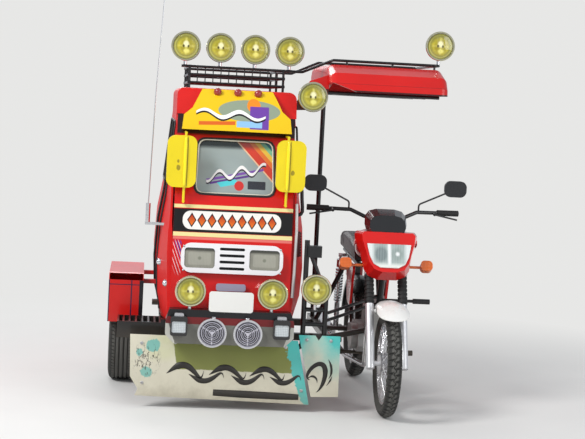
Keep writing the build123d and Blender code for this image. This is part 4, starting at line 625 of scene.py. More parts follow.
def clear_lamp_glass(name):
    """Clear fluted headlamp: grey reflector halves under painted highlights: pale streaks along the flutes,
    a white bar down the middle, white sides and bottom edge, and a white spot on one half.
    """
    finish = Finish(name, Coat_Weight=1.0, Coat_Roughness=0.03)
    x, _, z = finish.place()
    low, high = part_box("headlamp_glass")
    u, v = x - (low[X] + high[X]) / 2, z - (low[Z] + high[Z]) / 2
    flutes = u.waves(0.009) * 0.5 + 0.5
    cloud = finish.noise(22.0, 3.0, 0.5, (1.6, 1.0, 0.6))
    shade = finish.layers(
        finish.mix(cloud, "7d8c8a", "b4c2bd"),
        (finish.disc(u, v, (-0.046, 0.010), 0.038, 1.0, 0.018) * 0.8, "56666a"),
        (finish.disc(u, v, (0.044, 0.010), 0.034, 1.0, 0.018) * 0.5, "74857f"),
        # painted highlights: flute streaks, middle bar, sides, bottom and a spot
        (flutes * 0.25, "dfe7e4"),
        (abs(u).short_of(0.009, 0.010), "f2f5f4"),
        (abs(u).past(0.088, 0.022), "e2e8e6"),
        (v.short_of(-0.040, 0.018), "e6ebe4"),
        (finish.disc(u, v, (0.046, 0.014), 0.010, 1.0, 0.010), "f2f5f4"))
    return finish.set(shade, 0.07 + cloud * 0.05, relief=(flutes, 0.0010, 0.5))


def square_lamp_glass(name):
    """Grey-green oblong lamp: painted shade along its top, a paler inner oblong and fine flutes."""
    finish = Finish(name, Coat_Weight=1.0, Coat_Roughness=0.04)
    x, _, z = finish.place()
    low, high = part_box("cab_headlamps")
    side, v = abs(x - CAB_X) - CAB_LAMP_X, z - (low[Z] + high[Z]) / 2
    flutes = side.waves(0.008) * 0.5 + 0.5
    cloud = finish.noise(16.0, 3.0)
    shade = finish.layers(
        finish.mix(cloud, "7f7d72", "a3a191"),
        (finish.block(side, v, (0.0, -0.003), (0.062, 0.034), 0.012, 0.006) * 0.5, "b3b2a4"),
        # painted shade along the lamp's top
        (v.past(0.038, 0.010), "45453c"),
        (finish.disc(side, v, (0.0, 0.0), 0.009, 1.0, 0.006) * 0.6, "5f6450"),
        (flutes * 0.12, "5c5b50"))
    return finish.set(shade, 0.10 + cloud * 0.06, relief=(flutes, 0.0010, 0.5))


def horn_and_fog(name):
    """Horns of pale and black rings with three arms and a chrome rim; black fog lamps with a
    silver cap and gridded glass."""
    finish = Finish(name, Coat_Roughness=0.06)
    x, _, z = finish.place()
    side = abs(x - CAB_X)
    u, v = side - HORN_X, z - HORN_Z
    far = reach(u, v)
    ring = (far * (1 / 0.0098)).part().short_of(0.58, 0.12) * far.within(0.006, 0.064)
    down, right, left = (abs(line).short_of(0.0030) * half for line, half in (
        (u, v.short_of(0.0)), (u * 0.5 - v * 0.866, u.past(0.0)), (u * 0.5 + v * 0.866, u.short_of(0.0))))
    face = finish.layers(
        "b9b7c4", (ring, "050508"), (down.most(right).most(left) * far.short_of(0.066), "c3c1ca"),
        (far.past(0.069), "dcdce0"))
    window = finish.block(side, z, (0.275, 0.461), (0.037, 0.030), 0.008)
    upright, level = ((axis * (1 / 0.0092)).part().short_of(0.16, 0.06) for axis in (side, z))
    grime = finish.noise(30.0, 4.0)
    cap = z.past(FOG_CAP_Z)
    lamp = finish.layers(
        "131316", (window, "ccd2d4"), (window * upright.most(level) * 0.6, "7c8488"), (cap, "c3c4c8"))
    horn = side.short_of(0.200)
    shade, dust = dusted(finish, finish.mix(horn, lamp, face), 0.25)
    plated = horn * far.past(0.068) + (1 - horn) * cap * 0.7
    return finish.set(shade, 0.2 + grime * 0.16 + dust * 0.3, plated, coat=(1 - dust) * 0.6,
                      relief=(grime, 0.0004, 0.3))


def solid_lens(name, colour, ribs=0.008):
    """Coloured plastic lamp cover with moulded ribs."""
    finish = Finish(name, Coat_Weight=0.9, Coat_Roughness=0.05)
    x, _, z = finish.place()
    bars = (z.waves(ribs) + x.waves(ribs)) * 0.25 + 0.5
    shade = finish.mix(bars, colour, toned(colour, 1.35, 0.02))
    return finish.set(shade, 0.16 + bars * 0.1, relief=(bars, 0.0012, 0.5))


def tread_plate(name):
    """Floor plate with raised bars, laid crosswise in turn."""
    finish = Finish(name)
    x, y, _ = finish.place()
    u, v = ((x + y) * (1 / 0.034), (x - y) * (1 / 0.034))
    lengthwise, crosswise = (
        abs(thin.part() - 0.5).short_of(0.10, 0.08) * abs(long.part() - 0.5).short_of(0.32, 0.08)
        for thin, long in ((u, v), (v + 0.5, u + 0.5)))
    worn = finish.noise(9.0, 4.0)
    return finish.set(finish.mix(worn, "6d6a64", "a09d95"), 0.45 + worn * 0.2, 0.75,
                      relief=(lengthwise.most(crosswise), 0.0025, 0.7))


# Mesh shapes


def rows_to_faces(rows, columns, close_rows=False, close_columns=False):
    """Four-sided faces of a grid of points, joined round where it closes on itself."""
    i = np.arange(rows if close_rows else rows - 1)[:, None]
    j = np.arange(columns if close_columns else columns - 1)[None, :]
    i2, j2 = (i + 1) % rows, (j + 1) % columns
    corners = [i * columns + j, i * columns + j2, i2 * columns + j2, i2 * columns + j]
    return np.stack(np.broadcast_arrays(*corners), -1).reshape(-1, 4).tolist()


def unit(vectors):
    """The vectors, each divided by its length."""
    return vectors / np.linalg.norm(vectors, axis=-1, keepdims=True)


def tube(path, radius, sides, up, close=False):
    """A round section carried along a path: point + radius (side cos a + normal sin a).
    The side is the path's direction crossed with a fixed up."""
    path = np.asarray(path, float)
    along = unit(np.roll(path, -1, 0) - np.roll(path, 1, 0) if close else np.gradient(path, axis=0))
    side = unit(np.cross(along, np.asarray(up, float)))
    normal = np.cross(side, along)
    angle = np.linspace(0, 2 * math.pi, sides, endpoint=False)[None, :, None]
    ring = side[:, None, :] * np.cos(angle) + normal[:, None, :] * np.sin(angle)
    points = path[:, None, :] + radius * ring
    faces = rows_to_faces(len(path), sides, close_rows=close, close_columns=True)
    if not close:
        last = (len(path) - 1) * sides
        faces += [list(range(sides))[::-1], list(range(last, last + sides))]
    return points.reshape(-1, 3), faces


def turned(profile, axis, segments):
    """A profile of (radius, distance along the axis) turned about the axis; its ends lie on it."""
    profile = np.asarray(profile, float)
    axis = unit(np.asarray(axis, float))
    aside = unit(np.cross(axis, (0.0, 0.0, 1.0) if abs(axis[2]) < 0.9 else (1.0, 0.0, 0.0)))
    third = np.cross(axis, aside)
    angle = np.linspace(0, 2 * math.pi, segments, endpoint=False)
    ring = np.cos(angle)[:, None] * aside + np.sin(angle)[:, None] * third
    points = profile[:, None, 1:2] * axis + profile[:, None, 0:1] * ring[None]
    return points.reshape(-1, 3), rows_to_faces(len(profile), segments, close_columns=True)


def rounded_block(centre, half, power=6.0):
    """A block with rounded edges: each sine and cosine of a ball raised to 2 over the power."""
    rows, columns = 14, 28
    lift = np.linspace(-math.pi / 2, math.pi / 2, rows)[:, None]
    turn = np.linspace(0, 2 * math.pi, columns, endpoint=False)[None, :]

    def soft(value):
        return np.sign(value) * np.abs(value) ** (2 / power)

    x = soft(np.cos(lift)) * soft(np.cos(turn))
    y = soft(np.cos(lift)) * soft(np.sin(turn))
    z = soft(np.sin(lift)) * np.ones_like(turn)
    points = np.stack([x, y, z], -1) * np.asarray(half, float) + np.asarray(centre, float)
    return points.reshape(-1, 3), rows_to_faces(rows, columns, close_columns=True)


def repeated(shape, places):
    """Copies of one shape at a table of places."""
    points, faces = shape
    places = np.asarray(places, float)
    count = len(points)
    every = (points[None, :, :] + places[:, None, :]).reshape(-1, 3)
    return every, [[k * count + index for index in face] for k in range(len(places)) for face in faces]


def together(*shapes):
    """Several shapes as one."""
    points, faces, start = [], [], 0
    for part_points, part_faces in shapes:
        points.append(part_points)
        faces += [[start + index for index in face] for face in part_faces]
        start += len(part_points)
    return np.concatenate(points), faces


def points_of(mesh):
    """The mesh's points as rows of x, y and z."""
    spots = np.empty(len(mesh.vertices) * 3)
    mesh.vertices.foreach_get("co", spots)
    return spots.reshape(-1, 3)


def piece(name, shape, finish, body=VEHICLE, smooth=40.0, tidy=True, flat=None):
    """A mesh object from points and faces, riding on a body. Flat turns its points into its own
    flat coordinates."""
    points, faces = shape
    mesh = bpy.data.meshes.new(name)
    mesh.from_pydata(points.tolist(), [], faces)
    if tidy:
        work = bmesh.new()
        work.from_mesh(mesh)
        bmesh.ops.remove_doubles(work, verts=work.verts, dist=1e-6)
        bmesh.ops.dissolve_degenerate(work, edges=work.edges, dist=1e-7)
        bmesh.ops.recalc_face_normals(work, faces=work.faces)
        work.to_mesh(mesh)
        work.free()
    if flat:
        index = np.empty(len(mesh.loops), int)
        mesh.loops.foreach_get("vertex_index", index)
        mesh.uv_layers.new(name="flat").data.foreach_set("uv", flat(points_of(mesh))[index].reshape(-1))
    made = bpy.data.objects.new(name, mesh)
    bpy.context.scene.collection.objects.link(made)
    made.data.materials.append(finish.material)
    mesh.shade_smooth()
    if smooth:
        mesh.set_sharp_from_angle(angle=math.radians(smooth))
    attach(made, body)
    return made


def dress(finish, *names):
    """The CAD nodes take this finish."""
    for name in names:
        materials = NODES[name].data.materials
        materials.clear()
        materials.append(finish.material)


def rounded_loop(corners, radius, steps=7):
    """A closed outline of straight sides with arcs at the corners, as points in order.
    Each arc is a quadratic curve from one tangent point to the next, bent by the corner."""
    corners = np.asarray(corners, float)
    start = corners + unit(np.roll(corners, 1, 0) - corners) * radius
    end = corners + unit(np.roll(corners, -1, 0) - corners) * radius
    t = np.linspace(0, 1, steps)[None, :, None]
    arcs = (1 - t) ** 2 * start[:, None] + 2 * t * (1 - t) * corners[:, None] + t ** 2 * end[:, None]
    return arcs.reshape(-1, corners.shape[1])


SIDE_HEIGHTS = (0.460, 0.600, 0.760, 0.980, 1.150, 1.590)
SIDE_WIDTHS = (0.366, 0.404, 0.413, 0.402, 0.374, 0.331)


def pillar_x(side, y, z, out=0.0):
    """How far out the cab's side stands at a depth and a height: the wall draws in ahead of the door
    to the face's edge in a straight taper."""
    nose = np.clip((y + 0.390) / -0.330, 0, 1)
    wide = np.interp(z, SIDE_HEIGHTS, SIDE_WIDTHS)
    return CAB_X + side * (wide * (1 - nose) + FACE_EDGE * nose + out)


def face_y(z, out=0.0):
    """Depth of the leaning face at a height."""
    return np.interp(z, (FACE_FOOT_Z, 1.150, 1.590), (FACE_FOOT_Y, -0.600, -0.453)) - out


def evenly(loop, count=None, step=0.02):
    """Points at equal distances round a closed loop: so many, or as many as a step needs."""
    closed = np.vstack([loop, loop[:1]])
    far = np.r_[0, np.cumsum(np.linalg.norm(np.diff(closed, axis=0), axis=1))]
    marks = np.linspace(0, far[-1], count or int(far[-1] / step) + 1, endpoint=False)
    return np.stack([np.interp(marks, far, column) for column in closed.T], -1)


def window_loop(start, end, low=WINDOW_LOW, high=WINDOW_HIGH):
    """A window's outline with rounded corners, from start to end and from low to high."""
    return evenly(rounded_loop(((start, low), (end, low), (end, high), (start, high)), 0.035))


# Tyres


def tyre_shape(centre, section, turns, tread, steps):
    """A closed tyre: the section's points of (across, radius) are turned about the axle.
    Over the crown the radius falls by the tread's depth where its pattern is 1."""
    across, radius = evenly(section, steps).T[:, None, :]
    turn = np.linspace(0, 2 * math.pi, turns, endpoint=False)[:, None]
    far = radius - tread(turn, across, radius)
    points = np.stack([across + 0 * turn, far * np.cos(turn), far * np.sin(turn)], -1) + np.array(centre)
    return points.reshape(-1, 3), rows_to_faces(turns, steps, True, True)


def cycle_section(radius, width, rim=0.222):
    """Round-shouldered section: a crown arc over upright sides that run in to the bead."""
    angle = np.radians(np.linspace(-78, 78, 25))
    half = width / 2
    crown = np.stack([half * np.sin(angle) / math.sin(math.radians(78)),
                      radius - half * 0.86 * (1 - np.cos(angle))], -1)
    low = crown[-1, 1]
    flank = [(half * 0.97, low - 0.008), (half * 0.82, low - 0.020), (0.022, rim + 0.006),
             (0.021, rim + 0.001)]
    return np.vstack([crown, flank, [(-a, r) for a, r in reversed(flank)]])


def block_tread(radius, width, pitch, depth):
    """Blocks with slanting slots: the slots of each side lie half a pitch apart, and a zigzag runs
    round the middle. The pattern fades out over the shoulders."""
    count = round(2 * math.pi * radius / pitch)

    def tread(turn, across, far):
        half = width / 2
        lean = np.sign(across) * (np.abs(across) / half) * 0.36
        phase = (turn / (2 * math.pi) * count + lean + (across > 0) * 0.5) % 1.0
        slot = np.clip((0.19 - np.abs(phase - 0.5)) / 0.05, 0, 1)
        zigzag = 0.006 * np.sin(turn * count)
        groove = np.clip((0.0028 - np.abs(across - zigzag)) / 0.0012, 0, 1)
        slot = slot * (np.abs(across - zigzag) > 0.007)
        crown = np.clip((far - (radius - 0.030)) / 0.006, 0, 1)
        return depth * np.maximum(slot, groove) * crown

    return tread


def road_tread(radius, depth):
    """Four grooves round the tyre, and narrow slits across the ribs between them."""
    count = 76

    def tread(turn, across, far):
        groove = np.zeros_like(across + turn)
        for place in (-0.036, -0.013, 0.013, 0.036):
            groove = np.maximum(groove, np.clip((0.0042 - np.abs(across - place)) / 0.0014, 0, 1))
        phase = (turn / (2 * math.pi) * count + np.abs(across) * 9) % 1.0
        slit = np.clip((0.12 - np.abs(phase - 0.5)) / 0.06, 0, 1) * (np.abs(across) > 0.042)
        crown = np.clip((far - (radius - 0.024)) / 0.006, 0, 1)
        wall_ring = 0.0012 * np.clip(np.sin(far * 420.0), 0, 1) * (far < radius - 0.03)
        return (depth * np.maximum(groove, slit * 0.8)) * crown + wall_ring * (np.abs(across) > 0.05)

    return tread


def road_section(radius, width, rim=0.158):
    """Car tyre section: a nearly flat crown, round shoulders, full side walls and beads."""
    shoulder = (
        (0.0, 0.0), (0.45, 0.001), (0.72, 0.004), (0.86, 0.012), (0.95, 0.026), (1.0, 0.050), (0.985, 0.075),
        (0.90, 0.098))
    right = [(width / 2 * part, radius - drop) for part, drop in shoulder]
    right += [(width / 2 * 0.80, rim + 0.008), (width / 2 * 0.74, rim)]
    return np.array(right + [(-a, r) for a, r in reversed(right[1:])])


# Seats


def swell(node, name, voxel, cap, shrink):
    """A stuffed cover: the solid remeshed, blown up by cloth pressure and held within a cap.
    Sewn lines come after it."""
    source = NODES[node].data.copy()
    work = bmesh.new()
    work.from_mesh(source)
    bmesh.ops.remove_doubles(work, verts=work.verts, dist=1e-5)
    low = Vector([min(v.co[k] for v in work.verts) for k in range(3)])
    high = Vector([max(v.co[k] for v in work.verts) for k in range(3)])
    middle, size = (low + high) / 2, (high - low) / 2
    for vertex in work.verts:
        away = vertex.co - middle
        vertex.co = middle + Vector([away[k] * (1 - shrink / size[k]) for k in range(3)])
    work.to_mesh(source)
    work.free()
    pad = bpy.data.objects.new(name, source)
    bpy.context.scene.collection.objects.link(pad)
    remesh = pad.modifiers.new("even", "REMESH")
    remesh.mode = "VOXEL"
    remesh.voxel_size = voxel
    graph = bpy.context.evaluated_depsgraph_get()
    even = bpy.data.meshes.new_from_object(pad.evaluated_get(graph))
    pad.modifiers.clear()
    pad.data = even
    rest = moved = points_of(even)
    cloth = pad.modifiers.new("swell", "CLOTH")
    cloth.settings.use_pressure = True
    cloth.settings.uniform_pressure_force = CLOTH_PRESSURE
    cloth.settings.effector_weights.gravity = 0.0
    cloth.settings.quality = 4
    cloth.collision_settings.use_collision = False
    for step in range(1, 21):
        bpy.context.scene.frame_set(step)
    graph = bpy.context.evaluated_depsgraph_get()
    blown = bpy.data.meshes.new_from_object(pad.evaluated_get(graph))
    away = points_of(blown) - rest
    pad.modifiers.clear()
    bpy.context.scene.frame_set(1)
    length = np.linalg.norm(away, axis=1, keepdims=True)
    moved = rest + away * np.minimum(1.0, cap / np.maximum(length, 1e-9))
    bpy.data.meshes.remove(blown)
    low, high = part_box(node)
    return pad, np.clip(moved, np.array(low) + 0.0005, np.array(high) - 0.0005)


def stuffed(node, name, finish, slot, seams, voxel, cap, shrink, fill):
    """A finished pad: swollen, then pressed in along its sewn lines, and smoothed once."""
    pad, points = swell(node, name, voxel, cap, shrink)
    points = seams(points)
    pad.data.vertices.foreach_set("co", points.reshape(-1))
    pad.data.update()
    pad.data.materials.clear()
    pad.data.materials.append(finish.material)
    smooth = pad.modifiers.new("smooth", "SUBSURF")
    smooth.levels = smooth.render_levels = 1
    pad.data.shade_smooth()
    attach(pad, VEHICLE)
    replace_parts(pad, node)
    return pad


def pressed(value, lines, width, depth):
    """How deep a sewn line presses in: a smooth dip of the given width at each line."""
    dip = np.zeros_like(value)
    for line in lines:
        dip = np.maximum(dip, np.exp(-((value - line) / width) ** 2))
    return dip * depth


def sewn_lines(facing, way, edge, along, lines, width, depth):
    """A function that presses sewn lines into a pad: they lie at places along one axis, and press
    into the side that faces one way on another axis, past its edge."""

    def press(points):
        out = points.copy()
        near = np.clip((points[:, facing] - edge) * way / 0.03, 0, 1)
        out[:, facing] -= way * pressed(points[:, along], lines, width, depth) * near
        return out

    return press


# Operators


class TRICYCLE_OT_cab_finish(bpy.types.Operator):
    """Paint the cab, the canopy and the fender, with their stripes and stickers"""

    bl_idname = "tricycle.cab_finish"
    bl_label = "Cab paint"

    def execute(self, context):
        plain = gloss_paint("red_enamel", "body_red", coat=0.1, rough=0.42)
        dress(plain, "cab_right", "cab_left", "cab_back", "cab_roof")
        for name, colour, decorate, node, options in (
            ("canopy_enamel", "body_red", canopy_paint, "canopy", {}),
            ("face_enamel", "body_red", face_paint, "cab_face", {}),
            ("fender_enamel", "body_red", fender_paint, "side_fender", {}),
            ("brow_enamel", "brow_yellow", brow_paint, "brow", {"dark": 0.05}),
            ("bezel_enamel", "efedee", bezel_paint, "grille", {"dark": 0.03, "dust": 0.1}),
            ("plate_enamel", "ecebe6", plate_paint, "number_plate", {"dark": 0.03, "dust": 0.1}),
            ("bumper_enamel", "101014", bumper_paint, "bumper", {"dark": 0.1, "rough": 0.36}),
            ("board_enamel", "e3dec9", board_and_flap, "front_boards",
             {"dark": 0.06, "coat": 0.15, "rough": 0.5, "dust": 0.35}),
            ("mirror_shell", "mirror_yellow", mirror_paint, "cab_mirrors",
             {"dark": 0.07, "coat": 0.6, "rough": 0.25, "dust": 0.1}),
        ):
            dress(gloss_paint(name, colour, decorate=decorate, **options), node)
        dress(tread_plate("floor_plate"), "cab_floor")
        dress(shield_film("shield_film"), "windshield")
        return {"FINISHED"}


class TRICYCLE_OT_steel_finish(bpy.types.Operator):
    """Give the frames, rails, engine and chromed parts their metal finishes"""

    bl_idname = "tricycle.steel_finish"
    bl_label = "Steel and alloy"

    def execute(self, context):
        black = gloss_paint("black_enamel", "121214", 0.1, coat=0.5, rough=0.34, dust=0.7)
        dress(black, "bike_frame", "swingarm", "chassis", "side_axle", "roof_rack", "canopy_frame",
              "canopy_rail", "link_tubes", "side_step", "handlebar", "rear_guard")
        dress(bare_metal("cast_alloy", "b4b4b3", 0.38, 0.7, grain=160.0), "engine")
        dress(bare_metal("leg_alloy", "dfe0e3", 0.30, 0.6, grain=160.0, stain=0.1), "fork")
        chrome = bare_metal("chrome_plate", "e2e2e4", 0.07, stain=0.12)
        dress(chrome, "exhaust", "rear_shocks", "antenna", "front_wheel", "rear_wheel", "lamp_bowls")
        dress(gloss_paint("wheel_enamel", "8f9092", 0.1, coat=0.3, rough=0.4), "side_wheel")
        return {"FINISHED"}


class TRICYCLE_OT_trim_finish(bpy.types.Operator):
    """Give the plastics, rubbers, lamp covers and glasses their finishes"""

    bl_idname = "tricycle.trim_finish"
    bl_label = "Plastics and lamps"

    def execute(self, context):
        dress(moulded("black_rubber", "161616", 0.6, 300.0, 0.0008), "fork_gaiters", "grips")
        dress(moulded("black_shell", "0d0e10", 0.16, coat=0.8, dust=0.2), "meter_cowl")
        dress(moulded("mirror_black", "1b1c1f", 0.35), "bike_mirrors")
        dress(moulded("white_shell", "ecebe7", 0.22, dust=0.3, coat=0.7, fade=0.02), "front_guard")
        red = gloss_paint("red_shell", "body_red", 0.1, coat=0.6, rough=0.24)
        dress(red, "headlamp_mask", "fuel_tank", "side_covers")
        dress(solid_lens("amber_lens", "c95d05"), "turn_signals")
        dress(solid_lens("red_lens", "8a0d10"), "red_lamps")
        dress(coloured_glass("yellow_glass", "lens_yellow"), "lamp_lenses")
        dress(clear_lamp_glass("clear_glass"), "headlamp_glass")
        dress(square_lamp_glass("grey_glass"), "cab_headlamps")
        dress(horn_and_fog("horn_shell"), "bumper_lights")
        return {"FINISHED"}


class TRICYCLE_OT_tyres(bpy.types.Operator):
    """Cut the treads of the three tyres"""

    bl_idname = "tricycle.tyres"
    bl_label = "Tyres"

    def execute(self, context):
        sizes = context.scene.tricycle_tread
        for name, node, body, axle, width in (
            ("front_tread", "front_tyre", FRONT_WHEEL, FRONT_AXLE, 0.080),
            ("rear_tread", "rear_tyre", REAR_WHEEL, REAR_AXLE, 0.090),
        ):
            radius = axle[1]
            shape = tyre_shape(
                (BIKE_X, *axle), cycle_section(radius - TYRE_SKIN, width), 576,
                block_tread(radius, width, sizes.cycle_pitch, sizes.cycle_depth), 72)
            rubber = tyre_rubber(f"{name}_rubber", axle)
            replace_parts(piece(name, shape, rubber, body, tidy=False), node)
        radius = SIDE_AXLE[1]
        shape = tyre_shape(
            (SIDE_WHEEL_X, *SIDE_AXLE), road_section(radius - TYRE_SKIN, 0.155), 456,
            road_tread(radius, sizes.side_depth), 96)
        rubber = tyre_rubber("side_tread_rubber", SIDE_AXLE)
        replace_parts(piece("side_tread", shape, rubber, SIDE_WHEEL, tidy=False), "side_tyre")
        return {"FINISHED"}


class TRICYCLE_OT_seats(bpy.types.Operator):
    """Stuff the passenger bench and the rider's seat"""

    bl_idname = "tricycle.seats"
    bl_label = "Seats"

    def execute(self, context):
        red_vinyl = seat_vinyl("bench_vinyl", "4a0f12")
        black_vinyl = seat_vinyl("saddle_vinyl", "141416")
        tufts = np.linspace(CAB_X - 0.24, CAB_X + 0.24, 5)
        ribs = np.linspace(0.40, 0.62, 5)
        bench = sewn_lines(Z, 1, 0.79, X, tufts, width=0.010, depth=0.010)
        back = sewn_lines(Y, -1, 0.80, X, tufts, width=0.010, depth=0.010)
        saddle = sewn_lines(Z, 1, 0.83, Y, ribs, width=0.008, depth=0.006)
        thick = {"voxel": 0.009, "cap": 0.016, "shrink": 0.008, "fill": 0.6}
        thin = {"voxel": 0.007, "cap": 0.010, "shrink": 0.006, "fill": 0.7}
        stuffed("bench_seat", "bench_cushion", red_vinyl, "seat_vinyl", bench, **thick)
        stuffed("bench_back", "bench_backrest", red_vinyl, "seat_vinyl", back, **thick)
        stuffed("rider_seat", "saddle", black_vinyl, "seat_vinyl", saddle, **thin)
        return {"FINISHED"}


class TRICYCLE_OT_seals(bpy.types.Operator):
    """Fit the rubber seals and beads round the cab's openings"""

    bl_idname = "tricycle.seals"
    bl_label = "Seals"

    def execute(self, context):
        rubber = moulded("seal_rubber", "19191a", 0.5)
        silver = moulded("seal_silver", "c9c6b4", 0.28, dust=0.1, coat=0.5)
        corners = ((-0.216, 1.165), (0.216, 1.165), (0.206, 1.458), (-0.206, 1.458))
        outline = evenly(rounded_loop(corners, 0.045))
        outward = unit(outline - np.array((0.0, 1.31)))
        for name, radius, grow, finish in (
            ("shield_seal", 0.0038, -0.004, silver), ("shield_gasket", 0.0065, 0.005, rubber),
        ):
            x, z = (outline + outward * grow).T
            path = np.stack([CAB_X + x, face_y(z, 0.001), z], -1)
            piece(name, tube(path, radius, 10, (0.0, 1.0, 0.25), close=True), finish)
        rings = []
        for side, start, end, low in (
            (-1, -0.430, 0.020, 0.502), (-1, 0.090, 0.700, WINDOW_LOW), (1, -0.470, 0.620, WINDOW_LOW),
        ):
            y, z = window_loop(start, end, low).T
            rings.append(((1.0, 0.0, 0.0), [pillar_x(side, y, z, 0.001), y, z]))
        x, z = window_loop(-0.226, 0.226).T
        rings.append(((0.0, 1.0, 0.0), [CAB_X + x, np.full(len(x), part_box("cab_back")[1][Y]), z]))
        beads = [tube(np.stack(path, -1), 0.006, 8, up, close=True) for up, path in rings]
        piece("window_beads", together(*beads), rubber)
        return {"FINISHED"}


def lamp_places():
    """Centre of each yellow lamp's rim plane, as (x, y, z)."""
    low = [(CAB_X + side * 0.220, -0.735, 0.651) for side in (-1, 1)]
    top = [(CAB_X + (index - 1.5) * 0.195, -0.205, 1.966) for index in range(4)]
    return np.array(top + low + [(0.126, -0.678, 0.680), (0.800, -0.275, 2.040), (0.078, -0.440, 1.717)])


class TRICYCLE_OT_lamp_inners(bpy.types.Operator):
    """Put the rims and the fluted yellow glasses into the round lamps"""

    bl_idname = "tricycle.lamp_inners"
    bl_label = "Lamp inners"

    def execute(self, context):
        bright = bare_metal("rim_plate", "ded9b8", 0.1, stain=0.1)
        rim = turned([(0.0725, -0.058), (0.0805, -0.058), (0.0832, -0.062), (0.0805, -0.0665),
                      (0.0745, -0.0665), (0.0725, -0.058)], (0, 1, 0), 56)
        piece("lamp_rims", repeated(rim, lamp_places()), bright)
        edge, back = 0.0722, -0.0506
        dome = [(far, -0.0590 - 0.0108 * (1 - (far / edge) ** 2)) for far in np.linspace(edge, 0, 12)]
        glass = turned([(0, back), (edge, back), *dome], (0, 1, 0), 56)

        def flat(spots):
            away = spots[:, None, :] - lamp_places()[None]
            nearest = np.argmin((away[:, :, 0] ** 2 + away[:, :, 2] ** 2), axis=1)
            return away[np.arange(len(spots)), nearest][:, (0, 2)] / LAMP_FLAT + 0.5

        lenses = piece("lamp_glasses", repeated(glass, lamp_places()), lamp_glass("lamp_glass"),
                       flat=flat)
        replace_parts(lenses, "lamp_lenses")
        return {"FINISHED"}


class TRICYCLE_OT_cab_trim(bpy.types.Operator):
    """Fit the mirror ribs, the corner trim, the grab rail and the two small side lamps"""

    bl_idname = "tricycle.cab_trim"
    bl_label = "Cab trim"

    def execute(self, context):
        yellow = moulded("rib_shell", "mirror_yellow", 0.25, dust=0.1, coat=0.5)
        ribs = [rounded_block((CAB_X + side * MIRROR_X, -0.660, 1.335), (0.009, 0.010, 0.134), 3.0)
                for side in (-1, 1)]
        piece("mirror_ribs", together(*ribs), yellow)
        pale = bare_metal("trim_alloy", "c8c6c4", 0.34, 0.5, stain=0.3)
        z = np.linspace(0.62, 1.13, 18)
        edge = np.stack([pillar_x(1, face_y(z), z, 0.001), face_y(z, -0.004), z], -1)
        piece("corner_trim", tube(edge, 0.0085, 10, (1.0, 0.0, 0.0)), pale)
        black = moulded("grab_rubber", "121214", 0.4)
        z = np.array([1.062, 1.068, 1.082, 1.11, 1.15, 1.19, 1.212, 1.226, 1.232])
        lift = np.array([-0.004, 0.012, 0.021, 0.023, 0.023, 0.023, 0.021, 0.012, -0.004])
        y = np.full(len(z), -0.50)
        grab = np.stack([pillar_x(1, y, z, lift), y, z], -1)
        piece("grab_rail", tube(grab, 0.010, 12, (0.0, 1.0, 0.0)), black)
        chrome = bare_metal("side_lamp_chrome", "dedee2", 0.12, stain=0.1)
        cup = turned([(0, 0.006), (0.018, 0.006), (0.019, -0.006), (0.015, -0.014), (0.007, -0.018),
                      (0, -0.019)], (1, 0, 0), 28)
        spots = [(pillar_x(-1, y, z), y, z) for y, z in ((-0.615, 0.668), (-0.485, 0.770))]
        piece("side_lamps", repeated(cup, spots), chrome)
        clips = [rounded_block((CAB_X + side * 0.090, -0.812, 0.5145), (0.010, 0.010, 0.007))
                 for side in (-1, 1)]
        piece("horn_clips", together(*clips), chrome)
        dark = moulded("vent_shell", "4d1014", 0.4)
        y = -0.545
        slats = [rounded_block((pillar_x(1, y, z, 0.004), y, z), (0.012, 0.030, 0.0058))
                 for z in np.linspace(0.845, 0.965, 9)]
        case = rounded_block((pillar_x(1, y, 0.905, -0.002), y, 0.905), (0.011, 0.033, 0.071))
        piece("side_vent", together(case, *slats), dark)
        return {"FINISHED"}


class TRICYCLE_OT_spokes(bpy.types.Operator):
    """Lace the motorcycle's wheels with their remaining spokes and nipples"""

    bl_idname = "tricycle.spokes"
    bl_label = "Spokes"

    def execute(self, context):
        steel = bare_metal("spoke_steel", "d8d8da", 0.16, stain=0.1)
        up = (1.0, 0.1, 0.05)
        for name, body, (y, z) in (
            ("front_spokes", FRONT_WHEEL, FRONT_AXLE), ("rear_spokes", REAR_WHEEL, REAR_AXLE),
        ):
            wires = []
            for index in range(18):
                turn = math.radians(index * 20 + 10)
                side = 1 if index % 2 else -1
                sweep = math.radians(24 if index % 4 < 2 else -24)
                hub, rim = (
                    np.array((BIKE_X + side * across, y + far * math.cos(angle), z + far * math.sin(angle)))
                    for across, far, angle in ((0.032, 0.060, turn + sweep), (0.006, 0.205, turn)))
                path = np.linspace(hub, rim, 4)
                nipple = np.linspace(path[-1] * 0.12 + path[-2] * 0.88, rim, 2) * 0.5 + rim * 0.5
                wires += [tube(path, 0.0019, 6, up), tube(nipple, 0.0034, 6, up)]
            piece(name, together(*wires), steel, body)
        return {"FINISHED"}


def screw(axis, radius=0.006, height=0.004):
    """A low domed screw head turned about the axis."""
    return turned([(0, 0), (radius, 0), (radius, height * 0.45), (radius * 0.72, height * 0.85), (0, height)],
                  axis, 12)


